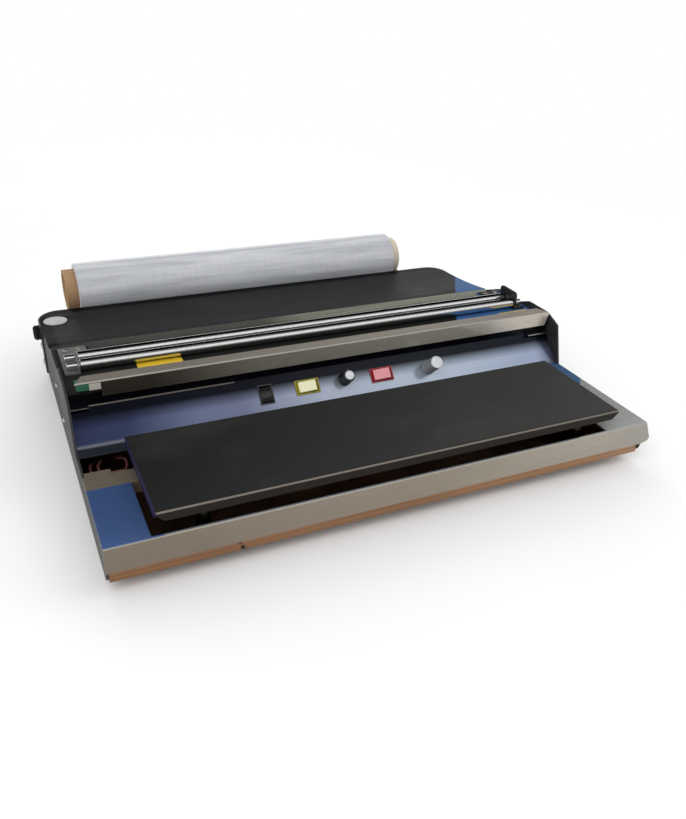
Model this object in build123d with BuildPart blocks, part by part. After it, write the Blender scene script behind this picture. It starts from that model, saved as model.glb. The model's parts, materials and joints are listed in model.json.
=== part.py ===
from build123d import *
from math import cos, radians, sin, sqrt, tan
import os

# Film wrapping machine for a counter: a roll of film in a cradle at the back, two
# chrome rollers, a hot cutter bar, a leaning control panel and a hot plate in front.
# Millimetres, X to the right, Y to the back, Z up from the table it stands on.
# A depth is measured from the front face of the skirt, a height from the table.

# Sheet metal body
body_width = 485.0
body_depth = 382.0
side_sheet = 2.0
sheet = 1.2
foot_height = 12.0
platform_height = 45.0
skirt_height = 23.0
hem_width = 3.0
overhang = 8.0              # skirt's flare on the right and gland on the left
flare_heights = (18.0, 21.0)
plate_corner = 8.0
half_outer = body_width / 2
half_inner = half_outer - side_sheet
under_platform = platform_height - sheet
floor_height = foot_height + sheet

# Front platform and its well; a margin is measured inwards from a side plate
well_margins = (31.5, 44.5)
strip_margin = 31.5
platform_lip = 1.8
well_depth = 72.0
rail_width = 18.0
rail_drop = 11.0
rail_tab = (20.0, 6.0)
recess_width = 29.0
well_left = well_margins[0] - half_inner
well_right = half_inner - well_margins[1]
strip_edge = half_inner - strip_margin

# Control panel
lean = radians(42.0)
panel_foot = 12.5
panel_slope = 35.3
riser_height = 11.4
tab_lengths = (15.5, 26.5)
tab_depth = 6.0
panel_bend = well_depth + rail_width + recess_width + panel_foot
crease_depth = panel_bend + panel_slope * sin(lean)
crease_height = platform_height + panel_slope * cos(lean)
bed_height = crease_height + riser_height + sheet

# Roller bed, film slot and the chrome rollers
bed_length = 68.9
bed_downturn = 14.0
tongue_margin = 30.5
tongue_reach = 21.0
roller_radius = 5.0
roller_clearance = 1.0
roller_pitch = 16.0
roller_setback = 12.7
roller_margins = (17.0, 19.0)
journal_radius = 3.0
journal_reach = 11.0
running_gap = 0.05
end_gap = 0.5
ear_sheet = 2.0
ear_width = 28.0
ear_round = 4.0
ear_rises = (4.2, 12.7)     # left and right, over the rollers' axis
ear_foot = 13.0
ear_step = 11.0
ear_reach = 18.0
slot_width = 32.0
bed_back = crease_depth + bed_length
tongue_edge = half_inner - tongue_margin
roller_height = bed_height + roller_clearance + roller_radius
roller_depths = (bed_back - roller_setback - roller_pitch, bed_back - roller_setback)
roller_ends = (roller_margins[0] - half_inner, half_inner - roller_margins[1])
ear_foot_back = bed_back + ear_reach

# Deck and its edge strip
strip_width = 15.5
strip_sheet = 1.0
strip_leg = 15.0
deck_step = 8.4             # front edge under the roller bed
deck_fall = 8.9             # back edge under the front edge
deck_sag = 2.5
deck_flange = 12.0
deck_corner = 20.0
plug_margins = (12.5, 31.0)
plug_radius = 11.5
plug_neck = 9.5
plug_seat = 0.1
plug_head = 0.9
plug_stem = 3.6
strip_front = bed_back + slot_width
deck_front = strip_front + strip_width
deck_front_height = bed_height - deck_step
deck_back_height = deck_front_height - deck_fall
deck_middle = ((deck_front + body_depth) / 2,
               (deck_front_height + deck_back_height) / 2 - deck_sag)
plug_place = (plug_margins[0] - half_inner, body_depth - plug_margins[1])

# Side plates above the platform
plate_lean = 17.0
plate_setback = 4.5
brow_drop = 0.2
shoulder_rise = 7.2
shoulder_span = (3.0, 35.0)
saddle_rise = 1.2
saddle_span = (50.0, 21.0)
plate_front = panel_bend - plate_setback
plate_end = body_depth - deck_corner - 1.0

# Rear cover, which wraps round both back corners
cover_sheet = 1.5
cover_reach = 37.0
vent_slot = (4.0, 14.0)
vent_count = 14
vent_row_count = 2
vent_pitch = (12.0, 20.0)
vent_height = 37.0
gland_setback = 28.0
gland_height = 56.0
gland_radius = 7.5
gland_neck = 6.0
gland_bore = 4.0
gland_nut = 3.0
gland_round = 1.5
cover_screw_setback = 30.0
cover_screw_heights = (24.0, 42.0)
corner_lap = 4.0
cover_leg = body_depth - cover_reach
half_back = half_outer - deck_corner - corner_lap
cover_back = body_depth + cover_sheet
cover_top = deck_back_height - sheet
gland_place = (body_depth - gland_setback, gland_height)

# Base pan and feet
pan_front = 3.0
rim_heights = (8.8, 16.8, 6.8)    # front, sides and back, over the floor
floor_slot = (34.0, 4.0)
floor_slot_count = 4
floor_row_count = 3
floor_pitch = (80.0, 30.0)
foot_radii = (10.0, 8.5)
foot_margins = (35.5, 28.0, 42.0)
foot_recess = (5.0, 6.0)
screw_radius = 2.0
head_radius = 3.6
head_height = 2.4
rim_start = pan_front + sheet + end_gap
foot_places = [(side * (half_inner - foot_margins[0]), depth) for side in (-1, 1)
               for depth in (foot_margins[1], body_depth - foot_margins[2])]

# Hot plate
hot_margin = 35.0
hot_front = 1.0
hot_depth = 107.5
hot_rise = 19.0
hot_sheet = 2.0
hot_flange = 8.2
hot_miter = 6.5
heater_margins = (55.5, 15.75)
heater_thickness = 3.0
heater_corner = 6.0
insulation_thickness = 4.0
post_radius = 6.0
post_margins = (36.5, 12.0, 10.5)
sensor_radius = 2.5
sensor_length = 38.0
hot_half = half_inner - hot_margin
hot_back = hot_front + hot_depth
hot_middle = hot_front + hot_depth / 2
hot_height = platform_height + hot_rise
under_hot = hot_height - hot_sheet
hot_bottom = hot_height - hot_flange
heater_size = (2 * (hot_half - heater_margins[0]), hot_depth - 2 * heater_margins[1])

# Cutter bar
bar_margins = (6.5, 1.5)
bar_overhang = 3.1
bar_width = 13.8
bar_rise = 9.7
bar_drop = 4.4
bar_slants = (7.0, 4.0)
cutaway = 21.0
block_height = 5.1
block_width = 12.5
block_overhang = 1.5
terminal_inset = 1.0
terminal_length = 10.3
insulator_length = 9.2
heater_rod_radius = 2.2
bar_ends = (bar_margins[0] - half_inner, half_inner - bar_margins[1])
bar_top = bed_height + bar_rise
bar_front = crease_depth - bar_overhang

# Film roll and its cradle
core_radius = 22.0
core_wall = 3.0
core_overhangs = (8.5, -11.5)     # past the cradle rollers' ends, left and right
film_radius = 28.0
film_insets = (12.0, 10.0)
cradle_clearance = 3.5
cradle_radius = 6.0
cradle_pitch = 34.0
cradle_height = 47.2
cradle_pin = 2.5
cradle_margin = 39.0
contact_gap = 0.3
bracket_sheet = 3.0
bracket_reach = 30.0
bracket_heights = (34.0, 53.5)
bracket_flange = 16.0
bracket_screw_pitch = 10.0
cradle_half = half_inner - cradle_margin
cradle_depths = (cover_back + cradle_clearance + cradle_radius,
                 cover_back + cradle_clearance + cradle_radius + cradle_pitch)
roll_depth = cradle_depths[0] + cradle_pitch / 2
roll_reach = film_radius + cradle_radius + contact_gap
roll_height = cradle_height + sqrt(roll_reach ** 2 - (cradle_pitch / 2) ** 2)
core_ends = (-cradle_half - core_overhangs[0], cradle_half + core_overhangs[1])
film_ends = (core_ends[0] + film_insets[0], core_ends[1] - film_insets[1])
overall_depth = roll_depth + bracket_reach
front_y = -overall_depth / 2

# Switches and knobs: place across the machine, and up the panel's slope
main_switch = (-74.0, 19.0)
plate_switch = (-34.0, 19.5)
cutter_switch = (42.0, 19.0)
plate_dial = (3.5, 20.5)
cutter_dial = (92.5, 17.5)
main_bezel = (18.5, 13.5)         # along the way it rocks, and across
lamp_bezel = (23.5, 14.0)
bezel_height = 0.8
bezel_lap = 0.9
switch_wall = 0.6
switch_depth = 18.0
pocket_depth = 7.5
rocker_rises = (2.4, 3.6)
rocker_dip = 1.4
rocker_depth = 3.5
rocker_gap = 0.3
rocker_tilt = radians(7.0)
pivot_depth = 2.4
trunnion_radius = 1.0
lug_length = 6.0
knob_gap = 0.8
plate_knob = (6.5, 6.0, 13.0)
plate_cap = (4.5, 1.2)
cutter_knob = (6.8, 6.3, 17.8)
cutter_cap = (6.2, 1.4)
cap_edge = 0.4
stem_radius = 3.0
stem_depth = 6.0
bush_radius = 4.5
control_radius = 14.0
control_depth = 16.0

rocker_switches = {
    "main_switch": (main_switch, main_bezel, True, rocker_rises[0]),
    "plate_switch": (plate_switch, lamp_bezel, False, rocker_rises[1]),
    "cutter_switch": (cutter_switch, lamp_bezel, False, rocker_rises[1]),
}

# Parts inside the body
transformer_place = (-120.0, body_depth - 82.0)
core_stack = (58.0, 34.0, 31.0)
core_window = (8.0, 20.0)
winding_wall = 7.0
terminal_margin = 18.5
terminal_size = (28.0, 16.0, 18.0)
terminal_screw = 1.8
terminal_ways = 3
terminal_place = (terminal_margin - half_inner, well_depth + rail_width + recess_width / 2)


def section(x):
    """Upright plane across X: depth to the right, height upwards."""
    return Plane(origin=(x, front_y, 0), x_dir=(0, 1, 0), z_dir=(1, 0, 0))


def plan(height):
    """Level plane: X to the right, depth upwards."""
    return Plane(origin=(0, front_y, height))


def upright(depth):
    """Upright plane seen from the front: X to the right, height upwards."""
    return Plane(origin=(0, front_y + depth, 0), x_dir=(1, 0, 0), z_dir=(0, -1, 0))


def on_panel(place, out=0.0, standing=False):
    """Plane over the leaning panel; its X runs to the right, or up the slope."""
    x, slope = place
    depth = panel_bend + slope * sin(lean) - out * cos(lean)
    height = platform_height + slope * cos(lean) + out * sin(lean)
    return Plane(origin=(x, front_y + depth, height),
                 x_dir=(0, sin(lean), cos(lean)) if standing else (1, 0, 0),
                 z_dir=(0, -cos(lean), sin(lean)))


os.makedirs("parts", exist_ok=True)


def save(piece, name):
    """Labels a finished piece and writes it."""
    piece.part.label = name
    export_step(piece.part, f"parts/{name}.step")


# Base pan: a floor with ventilation slots, and the rim of strips welded round it
with BuildPart() as base_pan:
    with BuildSketch(plan(foot_height)) as floor:
        with Locations((0, (pan_front + body_depth) / 2)):
            Rectangle(2 * half_inner, body_depth - pan_front)
        fillet(floor.vertices().group_by(Axis.Y)[-1], deck_corner - side_sheet)
        with Locations((0, body_depth / 2)):
            with GridLocations(*floor_pitch, floor_slot_count, floor_row_count):
                Rectangle(*floor_slot, mode=Mode.SUBTRACT)
        with Locations(*foot_places):
            Circle(screw_radius, mode=Mode.SUBTRACT)
    extrude(amount=sheet)
save(base_pan, "base_pan")

with BuildPart() as pan_rim:
    with BuildSketch(plan(floor_height)):
        with Locations((0, pan_front + sheet / 2)):
            Rectangle(2 * half_inner, sheet)
    extrude(amount=rim_heights[0])
    with BuildSketch(plan(floor_height)):
        for side in (-1, 1):
            with Locations((side * (half_inner - sheet / 2), (rim_start + plate_end) / 2)):
                Rectangle(sheet, plate_end - rim_start)
    extrude(amount=rim_heights[1])
    with BuildSketch(plan(floor_height)):
        with Locations((0, body_depth - sheet / 2)):
            Rectangle(2 * (half_inner - deck_corner), sheet)
    extrude(amount=rim_heights[2])
save(pan_rim, "pan_rim")

with BuildPart() as rubber_feet:
    for place in foot_places:
        with BuildSketch(plan(0)):
            with Locations(place):
                Circle(foot_radii[1])
        with BuildSketch(plan(foot_height)):
            with Locations(place):
                Circle(foot_radii[0])
        loft()
    with BuildSketch(plan(0)):
        with Locations(*foot_places):
            Circle(foot_recess[0])
    extrude(amount=foot_recess[1], mode=Mode.SUBTRACT)
    with BuildSketch(plan(foot_recess[1])):
        with Locations(*foot_places):
            Circle(screw_radius)
    extrude(amount=foot_height - foot_recess[1], mode=Mode.SUBTRACT)
save(rubber_feet, "rubber_feet")

with BuildPart() as foot_screws:
    with BuildSketch(plan(foot_recess[1] - head_height)):
        with Locations(*foot_places):
            RegularPolygon(head_radius, 6)
    extrude(amount=head_height)
    with BuildSketch(plan(foot_recess[1])):
        with Locations(*foot_places):
            Circle(screw_radius)
    extrude(amount=floor_height + head_height - foot_recess[1])
    with BuildSketch(plan(floor_height)):
        with Locations(*foot_places):
            RegularPolygon(head_radius, 6)
    extrude(amount=head_height)
save(foot_screws, "foot_screws")


deck_arc = ThreePointArc((deck_front, deck_front_height), deck_middle,
                         (body_depth, deck_back_height))


def deck_level(depth):
    """Height of the dished deck's top at a depth."""
    centre = deck_arc.arc_center
    return centre.Y - sqrt(deck_arc.radius ** 2 - (depth - centre.X) ** 2)


def deck_seat(place, out=0.0):
    """Plane that lies on the dished deck at a place."""
    x, depth = place
    centre = deck_arc.arc_center
    level = deck_level(depth)
    return Plane(origin=(x, front_y + depth, level), x_dir=(1, 0, 0),
                 z_dir=(0, centre.X - depth, centre.Y - level)).offset(out)


def side_plate(side):
    """Side plate on the left (-1) or right (1) of the body."""
    start = half_inner if side > 0 else -half_outer
    brow_height = bed_height - brow_drop
    brow = plate_front + (brow_height - under_platform) * tan(radians(plate_lean))
    with BuildPart() as plate:
        with BuildSketch(section(start)) as outline:
            with BuildLine():
                Polyline((deck_front, deck_front_height - sheet),
                         (bed_back + saddle_span[1], bed_height + saddle_rise),
                         (crease_depth + saddle_span[0], bed_height + saddle_rise),
                         (crease_depth + shoulder_span[1], bed_height + shoulder_rise),
                         (crease_depth + shoulder_span[0], bed_height + shoulder_rise),
                         (brow, brow_height), (plate_front, under_platform),
                         (sheet, under_platform), (sheet, foot_height),
                         (plate_end, foot_height), (plate_end, deck_level(plate_end) - sheet))
                ThreePointArc((deck_front, deck_front_height - sheet),
                              (deck_middle[0], deck_middle[1] - sheet),
                              (plate_end, deck_level(plate_end) - sheet))
            make_face()
            fillet(outline.vertices().group_by(Axis.X)[0].sort_by(Axis.Y)[0], plate_corner)
            fillet(outline.vertices().group_by(Axis.Y)[-1], plate_corner)
        extrude(amount=side_sheet)
        if side < 0:
            with BuildSketch(section(start)):
                with Locations(gland_place):
                    Circle(gland_neck)
            extrude(amount=side_sheet, mode=Mode.SUBTRACT)
    return plate


save(side_plate(-1), "left_side_plate")
save(side_plate(1), "right_side_plate")

with BuildPart() as crease_tabs:
    for side, length in zip((-1, 1), tab_lengths):
        with BuildSketch(plan(crease_height)):
            with Locations((side * (half_inner - length / 2), crease_depth - tab_depth / 2)):
                Rectangle(length, tab_depth)
        extrude(amount=sheet)
save(crease_tabs, "crease_tabs")

# Front platform: one stainless sheet that folds down into the hemmed skirt
with BuildPart() as front_platform:
    with BuildSketch(plan(under_platform)):
        with BuildLine():
            Polyline((-half_outer, 0), (half_outer, 0), (half_outer, plate_front),
                     (half_inner, plate_front), (half_inner, panel_bend),
                     (strip_edge, panel_bend), (strip_edge, well_depth),
                     (well_right, well_depth), (well_right, platform_lip),
                     (well_left, platform_lip), (well_left, well_depth),
                     (-half_outer, well_depth), close=True)
        make_face()
    extrude(amount=sheet)
    with BuildSketch(upright(0)):
        with BuildLine():
            Polyline((half_outer, platform_height), (-half_outer, platform_height),
                     (-half_outer, platform_height - skirt_height),
                     (half_outer, platform_height - skirt_height),
                     (half_outer + 0.8 * overhang, platform_height - flare_heights[1]),
                     (half_outer + overhang, platform_height - flare_heights[0]), close=True)
        make_face()
    extrude(amount=-sheet)
    with BuildSketch(plan(platform_height - skirt_height)):
        with Locations((0, sheet + hem_width / 2)):
            Rectangle(2 * half_inner, hem_width)
    extrude(amount=sheet)
    fillet(front_platform.edges().filter_by(Axis.X).group_by(Axis.Z)[-1].sort_by(Axis.Y)[0], 0.9)
save(front_platform, "front_platform")

with BuildPart() as platform_cross_rail:
    with BuildSketch(section(-half_inner)):
        with BuildLine():
            Polyline((well_depth, platform_height - rail_drop), (well_depth, platform_height),
                     (well_depth + rail_width, platform_height),
                     (well_depth + rail_width, platform_height - rail_drop))
            offset(amount=sheet, side=Side.RIGHT)
        make_face()
    extrude(amount=half_inner + strip_edge)
    with BuildSketch(plan(under_platform)):
        with Locations((-half_outer + side_sheet / 2, well_depth + rail_width / 2)):
            Rectangle(side_sheet, rail_width)
        with Locations((-half_inner + rail_tab[0] / 2, well_depth + rail_width + rail_tab[1] / 2)):
            Rectangle(*rail_tab)
    extrude(amount=sheet)
save(platform_cross_rail, "platform_cross_rail")

# Control panel: a flat foot, the leaning face and an upright riser, from one sheet
with BuildPart() as control_panel:
    with BuildSketch(section(-half_inner)):
        with BuildLine():
            Polyline((panel_bend - panel_foot, platform_height), (panel_bend, platform_height),
                     (crease_depth, crease_height), (crease_depth, bed_height - sheet))
            offset(amount=sheet, side=Side.RIGHT)
        make_face()
    extrude(amount=2 * half_inner)
    with BuildSketch(plan(under_platform)):
        with Locations(((strip_edge + half_inner) / 2, panel_bend - panel_foot / 2)):
            Rectangle(half_inner - strip_edge, panel_foot)
    extrude(amount=sheet, mode=Mode.SUBTRACT)
    for place, (length, width), standing, rise in rocker_switches.values():
        with BuildSketch(on_panel(place, -2 * sheet, standing)):
            Rectangle(length - 2 * bezel_lap, width - 2 * bezel_lap)
        extrude(amount=3 * sheet, mode=Mode.SUBTRACT)
    for place in (plate_dial, cutter_dial):
        with BuildSketch(on_panel(place, -2 * sheet)):
            Circle(bush_radius)
        extrude(amount=3 * sheet, mode=Mode.SUBTRACT)
save(control_panel, "control_panel")

with BuildPart() as roller_bed:
    with BuildSketch(section(-half_inner)):
        with BuildLine():
            Polyline((crease_depth, bed_height), (bed_back, bed_height),
                     (bed_back, bed_height - bed_downturn))
            offset(amount=sheet, side=Side.RIGHT)
        make_face()
    extrude(amount=2 * half_inner)
    with BuildSketch(plan(bed_height - sheet)):
        for side in (-1, 1):
            with Locations((side * (half_inner + tongue_edge) / 2, bed_back + tongue_reach / 2)):
                Rectangle(half_inner - tongue_edge, tongue_reach)
    extrude(amount=sheet)
save(roller_bed, "roller_bed")

# Deck and the bright strip along its front edge, joined by their downturned edges
with BuildPart() as deck:
    with BuildSketch(section(-half_outer)):
        with BuildLine():
            over = ThreePointArc((deck_front, deck_front_height), deck_middle,
                                 (body_depth, deck_back_height))
            under = ThreePointArc((deck_front, deck_front_height - sheet),
                                  (deck_middle[0], deck_middle[1] - sheet),
                                  (body_depth, deck_back_height - sheet))
            Line(over @ 0, under @ 0)
            Line(over @ 1, under @ 1)
        make_face()
    extrude(amount=body_width)
    fillet(deck.edges().filter_by(Axis.Z).group_by(Axis.Y)[-1], deck_corner)
    with BuildSketch(section(-half_inner)):
        with Locations((deck_front + sheet / 2, deck_front_height - (sheet + deck_flange) / 2)):
            Rectangle(sheet, deck_flange)
    extrude(amount=2 * half_inner)
    with BuildSketch(section(deck_corner - half_outer)):
        with Locations((body_depth - sheet / 2, deck_back_height - (sheet + deck_flange) / 2)):
            Rectangle(sheet, deck_flange)
    extrude(amount=body_width - 2 * deck_corner)
    with BuildSketch(deck_seat(plug_place, -deck_flange / 2)):
        Circle(plug_neck)
    extrude(amount=deck_flange, mode=Mode.SUBTRACT)
save(deck, "deck")

with BuildPart() as deck_edge_strip:
    with BuildSketch(section(-half_inner)):
        with BuildLine():
            Polyline((strip_front, deck_front_height - strip_leg),
                     (strip_front, deck_front_height), (deck_front, deck_front_height),
                     (deck_front, deck_front_height - deck_flange))
            offset(amount=strip_sheet, side=Side.RIGHT)
        make_face()
    extrude(amount=2 * half_inner)
save(deck_edge_strip, "deck_edge_strip")

with BuildPart() as deck_plug:
    with BuildSketch(deck_seat(plug_place, plug_seat)):
        Circle(plug_radius)
    extrude(amount=plug_head)
    with BuildSketch(deck_seat(plug_place, plug_seat)):
        Circle(plug_neck)
    extrude(amount=-plug_stem)
save(deck_plug, "deck_plug")

# Rear cover: a vented back sheet between two corner sheets, and the gland in the left one
with BuildPart() as rear_cover:
    with BuildSketch(upright(cover_back)):
        with Locations((0, (floor_height + cover_top) / 2)):
            Rectangle(2 * half_back, cover_top - floor_height)
        with Locations((0, vent_height)):
            with GridLocations(*vent_pitch, vent_count, vent_row_count):
                Rectangle(*vent_slot, mode=Mode.SUBTRACT)
    extrude(amount=cover_sheet)
save(rear_cover, "rear_cover")


def cover_corner(side):
    """Sheet round the back corner on the left (-1) or right (1)."""
    with BuildPart() as corner:
        with BuildSketch(plan(floor_height)):
            with BuildLine():
                FilletPolyline((side * half_outer, cover_leg), (side * half_outer, body_depth),
                               (side * half_back, body_depth), radius=deck_corner)
                offset(amount=cover_sheet, side=Side.LEFT if side < 0 else Side.RIGHT)
            make_face()
        extrude(amount=cover_top - floor_height)
        if side < 0:
            with BuildSketch(section(-half_outer - cover_sheet)):
                with Locations(gland_place):
                    Circle(gland_neck)
            extrude(amount=cover_sheet, mode=Mode.SUBTRACT)
    return corner


save(cover_corner(-1), "left_cover_corner")
save(cover_corner(1), "right_cover_corner")

with BuildPart() as cover_screws:
    for side in (-1, 1):
        with BuildSketch(section(side * (half_outer + cover_sheet))):
            for height in cover_screw_heights:
                with Locations((body_depth - cover_screw_setback, height)):
                    RegularPolygon(head_radius, 6)
        extrude(amount=side * head_height)
save(cover_screws, "cover_screws")

with BuildPart() as cable_gland:
    with BuildSketch(section(-half_outer - overhang)):
        with Locations(gland_place):
            Circle(gland_radius)
    extrude(amount=overhang - cover_sheet)
    chamfer(cable_gland.edges().group_by(Axis.X)[0], gland_round)
    with BuildSketch(section(-half_outer - cover_sheet)):
        with Locations(gland_place):
            Circle(gland_neck)
    extrude(amount=cover_sheet + side_sheet)
    with BuildSketch(section(-half_inner)):
        with Locations(gland_place):
            RegularPolygon(gland_radius, 6)
    extrude(amount=gland_nut)
    with BuildSketch(section(-half_outer - overhang)):
        with Locations(gland_place):
            Circle(gland_bore)
    extrude(amount=overhang + side_sheet + gland_nut, mode=Mode.SUBTRACT)
save(cable_gland, "cable_gland")

# Hot plate: a folded sheet with mitred flanges, on four posts
with BuildPart() as hot_plate:
    with BuildSketch(plan(under_hot)):
        with Locations((0, hot_middle)):
            Rectangle(2 * hot_half, hot_depth)
    extrude(amount=hot_sheet)
    for depth, thickness in ((hot_front, -hot_sheet), (hot_back, hot_sheet)):
        with BuildSketch(upright(depth)):
            with BuildLine():
                Polyline((-hot_half, under_hot), (hot_half, under_hot),
                         (hot_half - hot_miter, hot_bottom), (hot_miter - hot_half, hot_bottom),
                         close=True)
            make_face()
        extrude(amount=thickness)
    for side in (-1, 1):
        with BuildSketch(section(side * hot_half)):
            with BuildLine():
                Polyline((hot_front, under_hot), (hot_back, under_hot),
                         (hot_back - hot_miter, hot_bottom),
                         (hot_front + hot_miter, hot_bottom), close=True)
            make_face()
        extrude(amount=-side * hot_sheet)
    fillet(hot_plate.faces().sort_by(Axis.Z)[-1].edges(), 1.0)
save(hot_plate, "hot_plate")

with BuildPart() as hot_plate_posts:
    with BuildSketch(plan(floor_height)):
        for depth in (hot_front + post_margins[1], hot_back - post_margins[2]):
            for side in (-1, 1):
                with Locations((side * (hot_half - post_margins[0]), depth)):
                    Circle(post_radius)
    extrude(amount=under_hot - floor_height)
save(hot_plate_posts, "hot_plate_posts")

with BuildPart() as plate_heater:
    with BuildSketch(plan(under_hot)) as mat:
        with Locations((0, hot_middle)):
            RectangleRounded(*heater_size, heater_corner)
    extrude(amount=-heater_thickness)
save(plate_heater, "plate_heater")

with BuildPart() as plate_insulation:
    with BuildSketch(plan(under_hot - heater_thickness)):
        with Locations((0, hot_middle)):
            Rectangle(*heater_size)
    extrude(amount=-insulation_thickness)
save(plate_insulation, "plate_insulation")

with BuildPart() as temperature_sensor:
    with BuildSketch(Plane(origin=(-heater_size[0] / 2 - 2 * sensor_radius, front_y + hot_middle,
                                   under_hot - sensor_radius), z_dir=(-1, 0, 0))):
        Circle(sensor_radius)
    extrude(amount=sensor_length)
save(temperature_sensor, "temperature_sensor")

# Cutter bar: an upturned channel over its heater rod, open at the left end
with BuildPart() as cutter_bar:
    with BuildSketch(section(bar_ends[0])):
        with BuildLine():
            Polyline((bar_front, bed_height - bar_drop), (bar_front, bar_top),
                     (bar_front + bar_width, bar_top), (bar_front + bar_width, bed_height))
            offset(amount=sheet, side=Side.RIGHT)
        make_face()
    extrude(amount=bar_ends[1] - bar_ends[0])
    with BuildSketch(section(bar_ends[0])):
        with Locations((bar_front, (bed_height - bar_drop + bar_top - sheet) / 2)):
            Rectangle(2 * sheet, bar_top - sheet - bed_height + bar_drop)
    extrude(amount=cutaway, mode=Mode.SUBTRACT)
    with BuildSketch(plan(bed_height)):
        for end, way in ((bar_ends[0], 1), (bar_ends[1], -1)):
            with BuildLine():
                Polyline((end, bar_front), (end, bar_front + bar_width),
                         (end + way * bar_slants[0], bar_front + bar_width), close=True)
            make_face()
    extrude(amount=bar_top - bed_height, mode=Mode.SUBTRACT)
    with BuildSketch(upright(bar_front)):
        with BuildLine():
            Polyline((bar_ends[1], bar_top), (bar_ends[1], bed_height - bar_drop),
                     (bar_ends[1] - bar_slants[1], bed_height - bar_drop), close=True)
        make_face()
    extrude(amount=-sheet, mode=Mode.SUBTRACT)
save(cutter_bar, "cutter_bar")

block_middle = bar_top - sheet - block_height / 2
left_block = bar_front - block_overhang
with BuildPart() as cutter_terminal:
    with BuildSketch(section(bar_ends[0] + terminal_inset)):
        with Locations((left_block + block_width / 2, block_middle)):
            RectangleRounded(block_width, block_height, 0.6)
    extrude(amount=terminal_length)
save(cutter_terminal, "cutter_terminal")

insulator_start = bar_ends[0] + terminal_inset + terminal_length
right_start = bar_ends[1] - bar_slants[0] - insulator_length
with BuildPart() as cutter_insulators:
    with BuildSketch(section(insulator_start)):
        with Locations((left_block + block_width / 2, block_middle)):
            Rectangle(block_width, block_height)
    extrude(amount=insulator_length)
    with BuildSketch(section(right_start)):
        with Locations((bar_front + bar_width / 2, block_middle)):
            Rectangle(bar_width - 2 * sheet, block_height)
    extrude(amount=insulator_length)
save(cutter_insulators, "cutter_insulators")

with BuildPart() as cutter_heater:
    with BuildSketch(section(insulator_start + insulator_length)):
        with Locations((bar_front + bar_width / 2, block_middle)):
            Circle(heater_rod_radius)
    extrude(amount=right_start - insulator_start - insulator_length)
save(cutter_heater, "cutter_heater")


def roller_ear(side, inner, top):
    """Angle that carries the rollers' ends on the left (-1) or right (1)."""
    middle = (roller_depths[0] + roller_depths[1]) / 2
    with BuildPart() as ear:
        with BuildSketch(section(inner)) as plate:
            with Locations((middle, (bed_height + top) / 2)):
                Rectangle(ear_width, top - bed_height)
            fillet(plate.vertices().group_by(Axis.Y)[-1], ear_round)
        extrude(amount=side * ear_sheet)
        with BuildSketch(plan(bed_height)):
            with BuildLine():
                Polyline((inner, middle - ear_width / 2), (inner + side * ear_foot, middle - ear_width / 2),
                         (inner + side * ear_foot, ear_foot_back),
                         (inner - side * ear_step, ear_foot_back), (inner - side * ear_step, bed_back),
                         (inner, bed_back), close=True)
            make_face()
        extrude(amount=ear_sheet)
        with BuildSketch(section(inner)):
            for depth in roller_depths:
                with Locations((depth, roller_height)):
                    Circle(journal_radius + running_gap)
        extrude(amount=side * ear_sheet, mode=Mode.SUBTRACT)
        with BuildSketch(plan(bed_height)):
            for step in (-ear_step / 2, ear_foot / 2):
                with Locations((inner + side * step, ear_foot_back - ear_step / 2)):
                    Circle(screw_radius)
        extrude(amount=ear_sheet, mode=Mode.SUBTRACT)
    return ear


ear_inners = (roller_ends[0] - end_gap, roller_ends[1] + end_gap)
save(roller_ear(-1, ear_inners[0], roller_height + ear_rises[0]), "left_roller_ear")
save(roller_ear(1, ear_inners[1], roller_height + ear_rises[1]), "right_roller_ear")

with BuildPart() as ear_screws:
    for side, inner in zip((-1, 1), ear_inners):
        for step in (-ear_step / 2, ear_foot / 2):
            place = (inner + side * step, ear_foot_back - ear_step / 2)
            with BuildSketch(plan(bed_height + ear_sheet)):
                with Locations(place):
                    RegularPolygon(head_radius, 6)
            extrude(amount=head_height)
            with BuildSketch(plan(bed_height)):
                with Locations(place):
                    Circle(screw_radius)
            extrude(amount=ear_sheet)
save(ear_screws, "ear_screws")


def chrome_roller(depth):
    """Bright roller that runs on its journals in the two ears."""
    with BuildPart() as roller:
        with BuildSketch(section(roller_ends[0])):
            with Locations((depth, roller_height)):
                Circle(roller_radius)
        extrude(amount=roller_ends[1] - roller_ends[0])
        with BuildSketch(section(roller_ends[0] - journal_reach)):
            with Locations((depth, roller_height)):
                Circle(journal_radius)
        extrude(amount=roller_ends[1] - roller_ends[0] + 2 * journal_reach)
    return roller


save(chrome_roller(roller_depths[0]), "front_roller")
save(chrome_roller(roller_depths[1]), "rear_roller")

# Film roll: a paper core with the film wound on it
with BuildPart() as film_core:
    with BuildSketch(section(core_ends[0])):
        with Locations((roll_depth, roll_height)):
            Circle(core_radius)
            Circle(core_radius - core_wall, mode=Mode.SUBTRACT)
    extrude(amount=core_ends[1] - core_ends[0])
save(film_core, "film_core")

with BuildPart() as film_wrap:
    with BuildSketch(section(film_ends[0])):
        with Locations((roll_depth, roll_height)):
            Circle(film_radius)
            Circle(core_radius, mode=Mode.SUBTRACT)
    extrude(amount=film_ends[1] - film_ends[0])
save(film_wrap, "film_wrap")


def cradle_roller(depth):
    """Plain roller under the film roll."""
    with BuildPart() as roller:
        with BuildSketch(section(-cradle_half)):
            with Locations((depth, cradle_height)):
                Circle(cradle_radius)
        extrude(amount=2 * cradle_half)
        with BuildSketch(section(-cradle_half - end_gap - bracket_sheet)):
            with Locations((depth, cradle_height)):
                Circle(cradle_pin)
        extrude(amount=2 * (cradle_half + end_gap + bracket_sheet))
    return roller


save(cradle_roller(cradle_depths[0]), "front_cradle_roller")
save(cradle_roller(cradle_depths[1]), "rear_cradle_roller")


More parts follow.
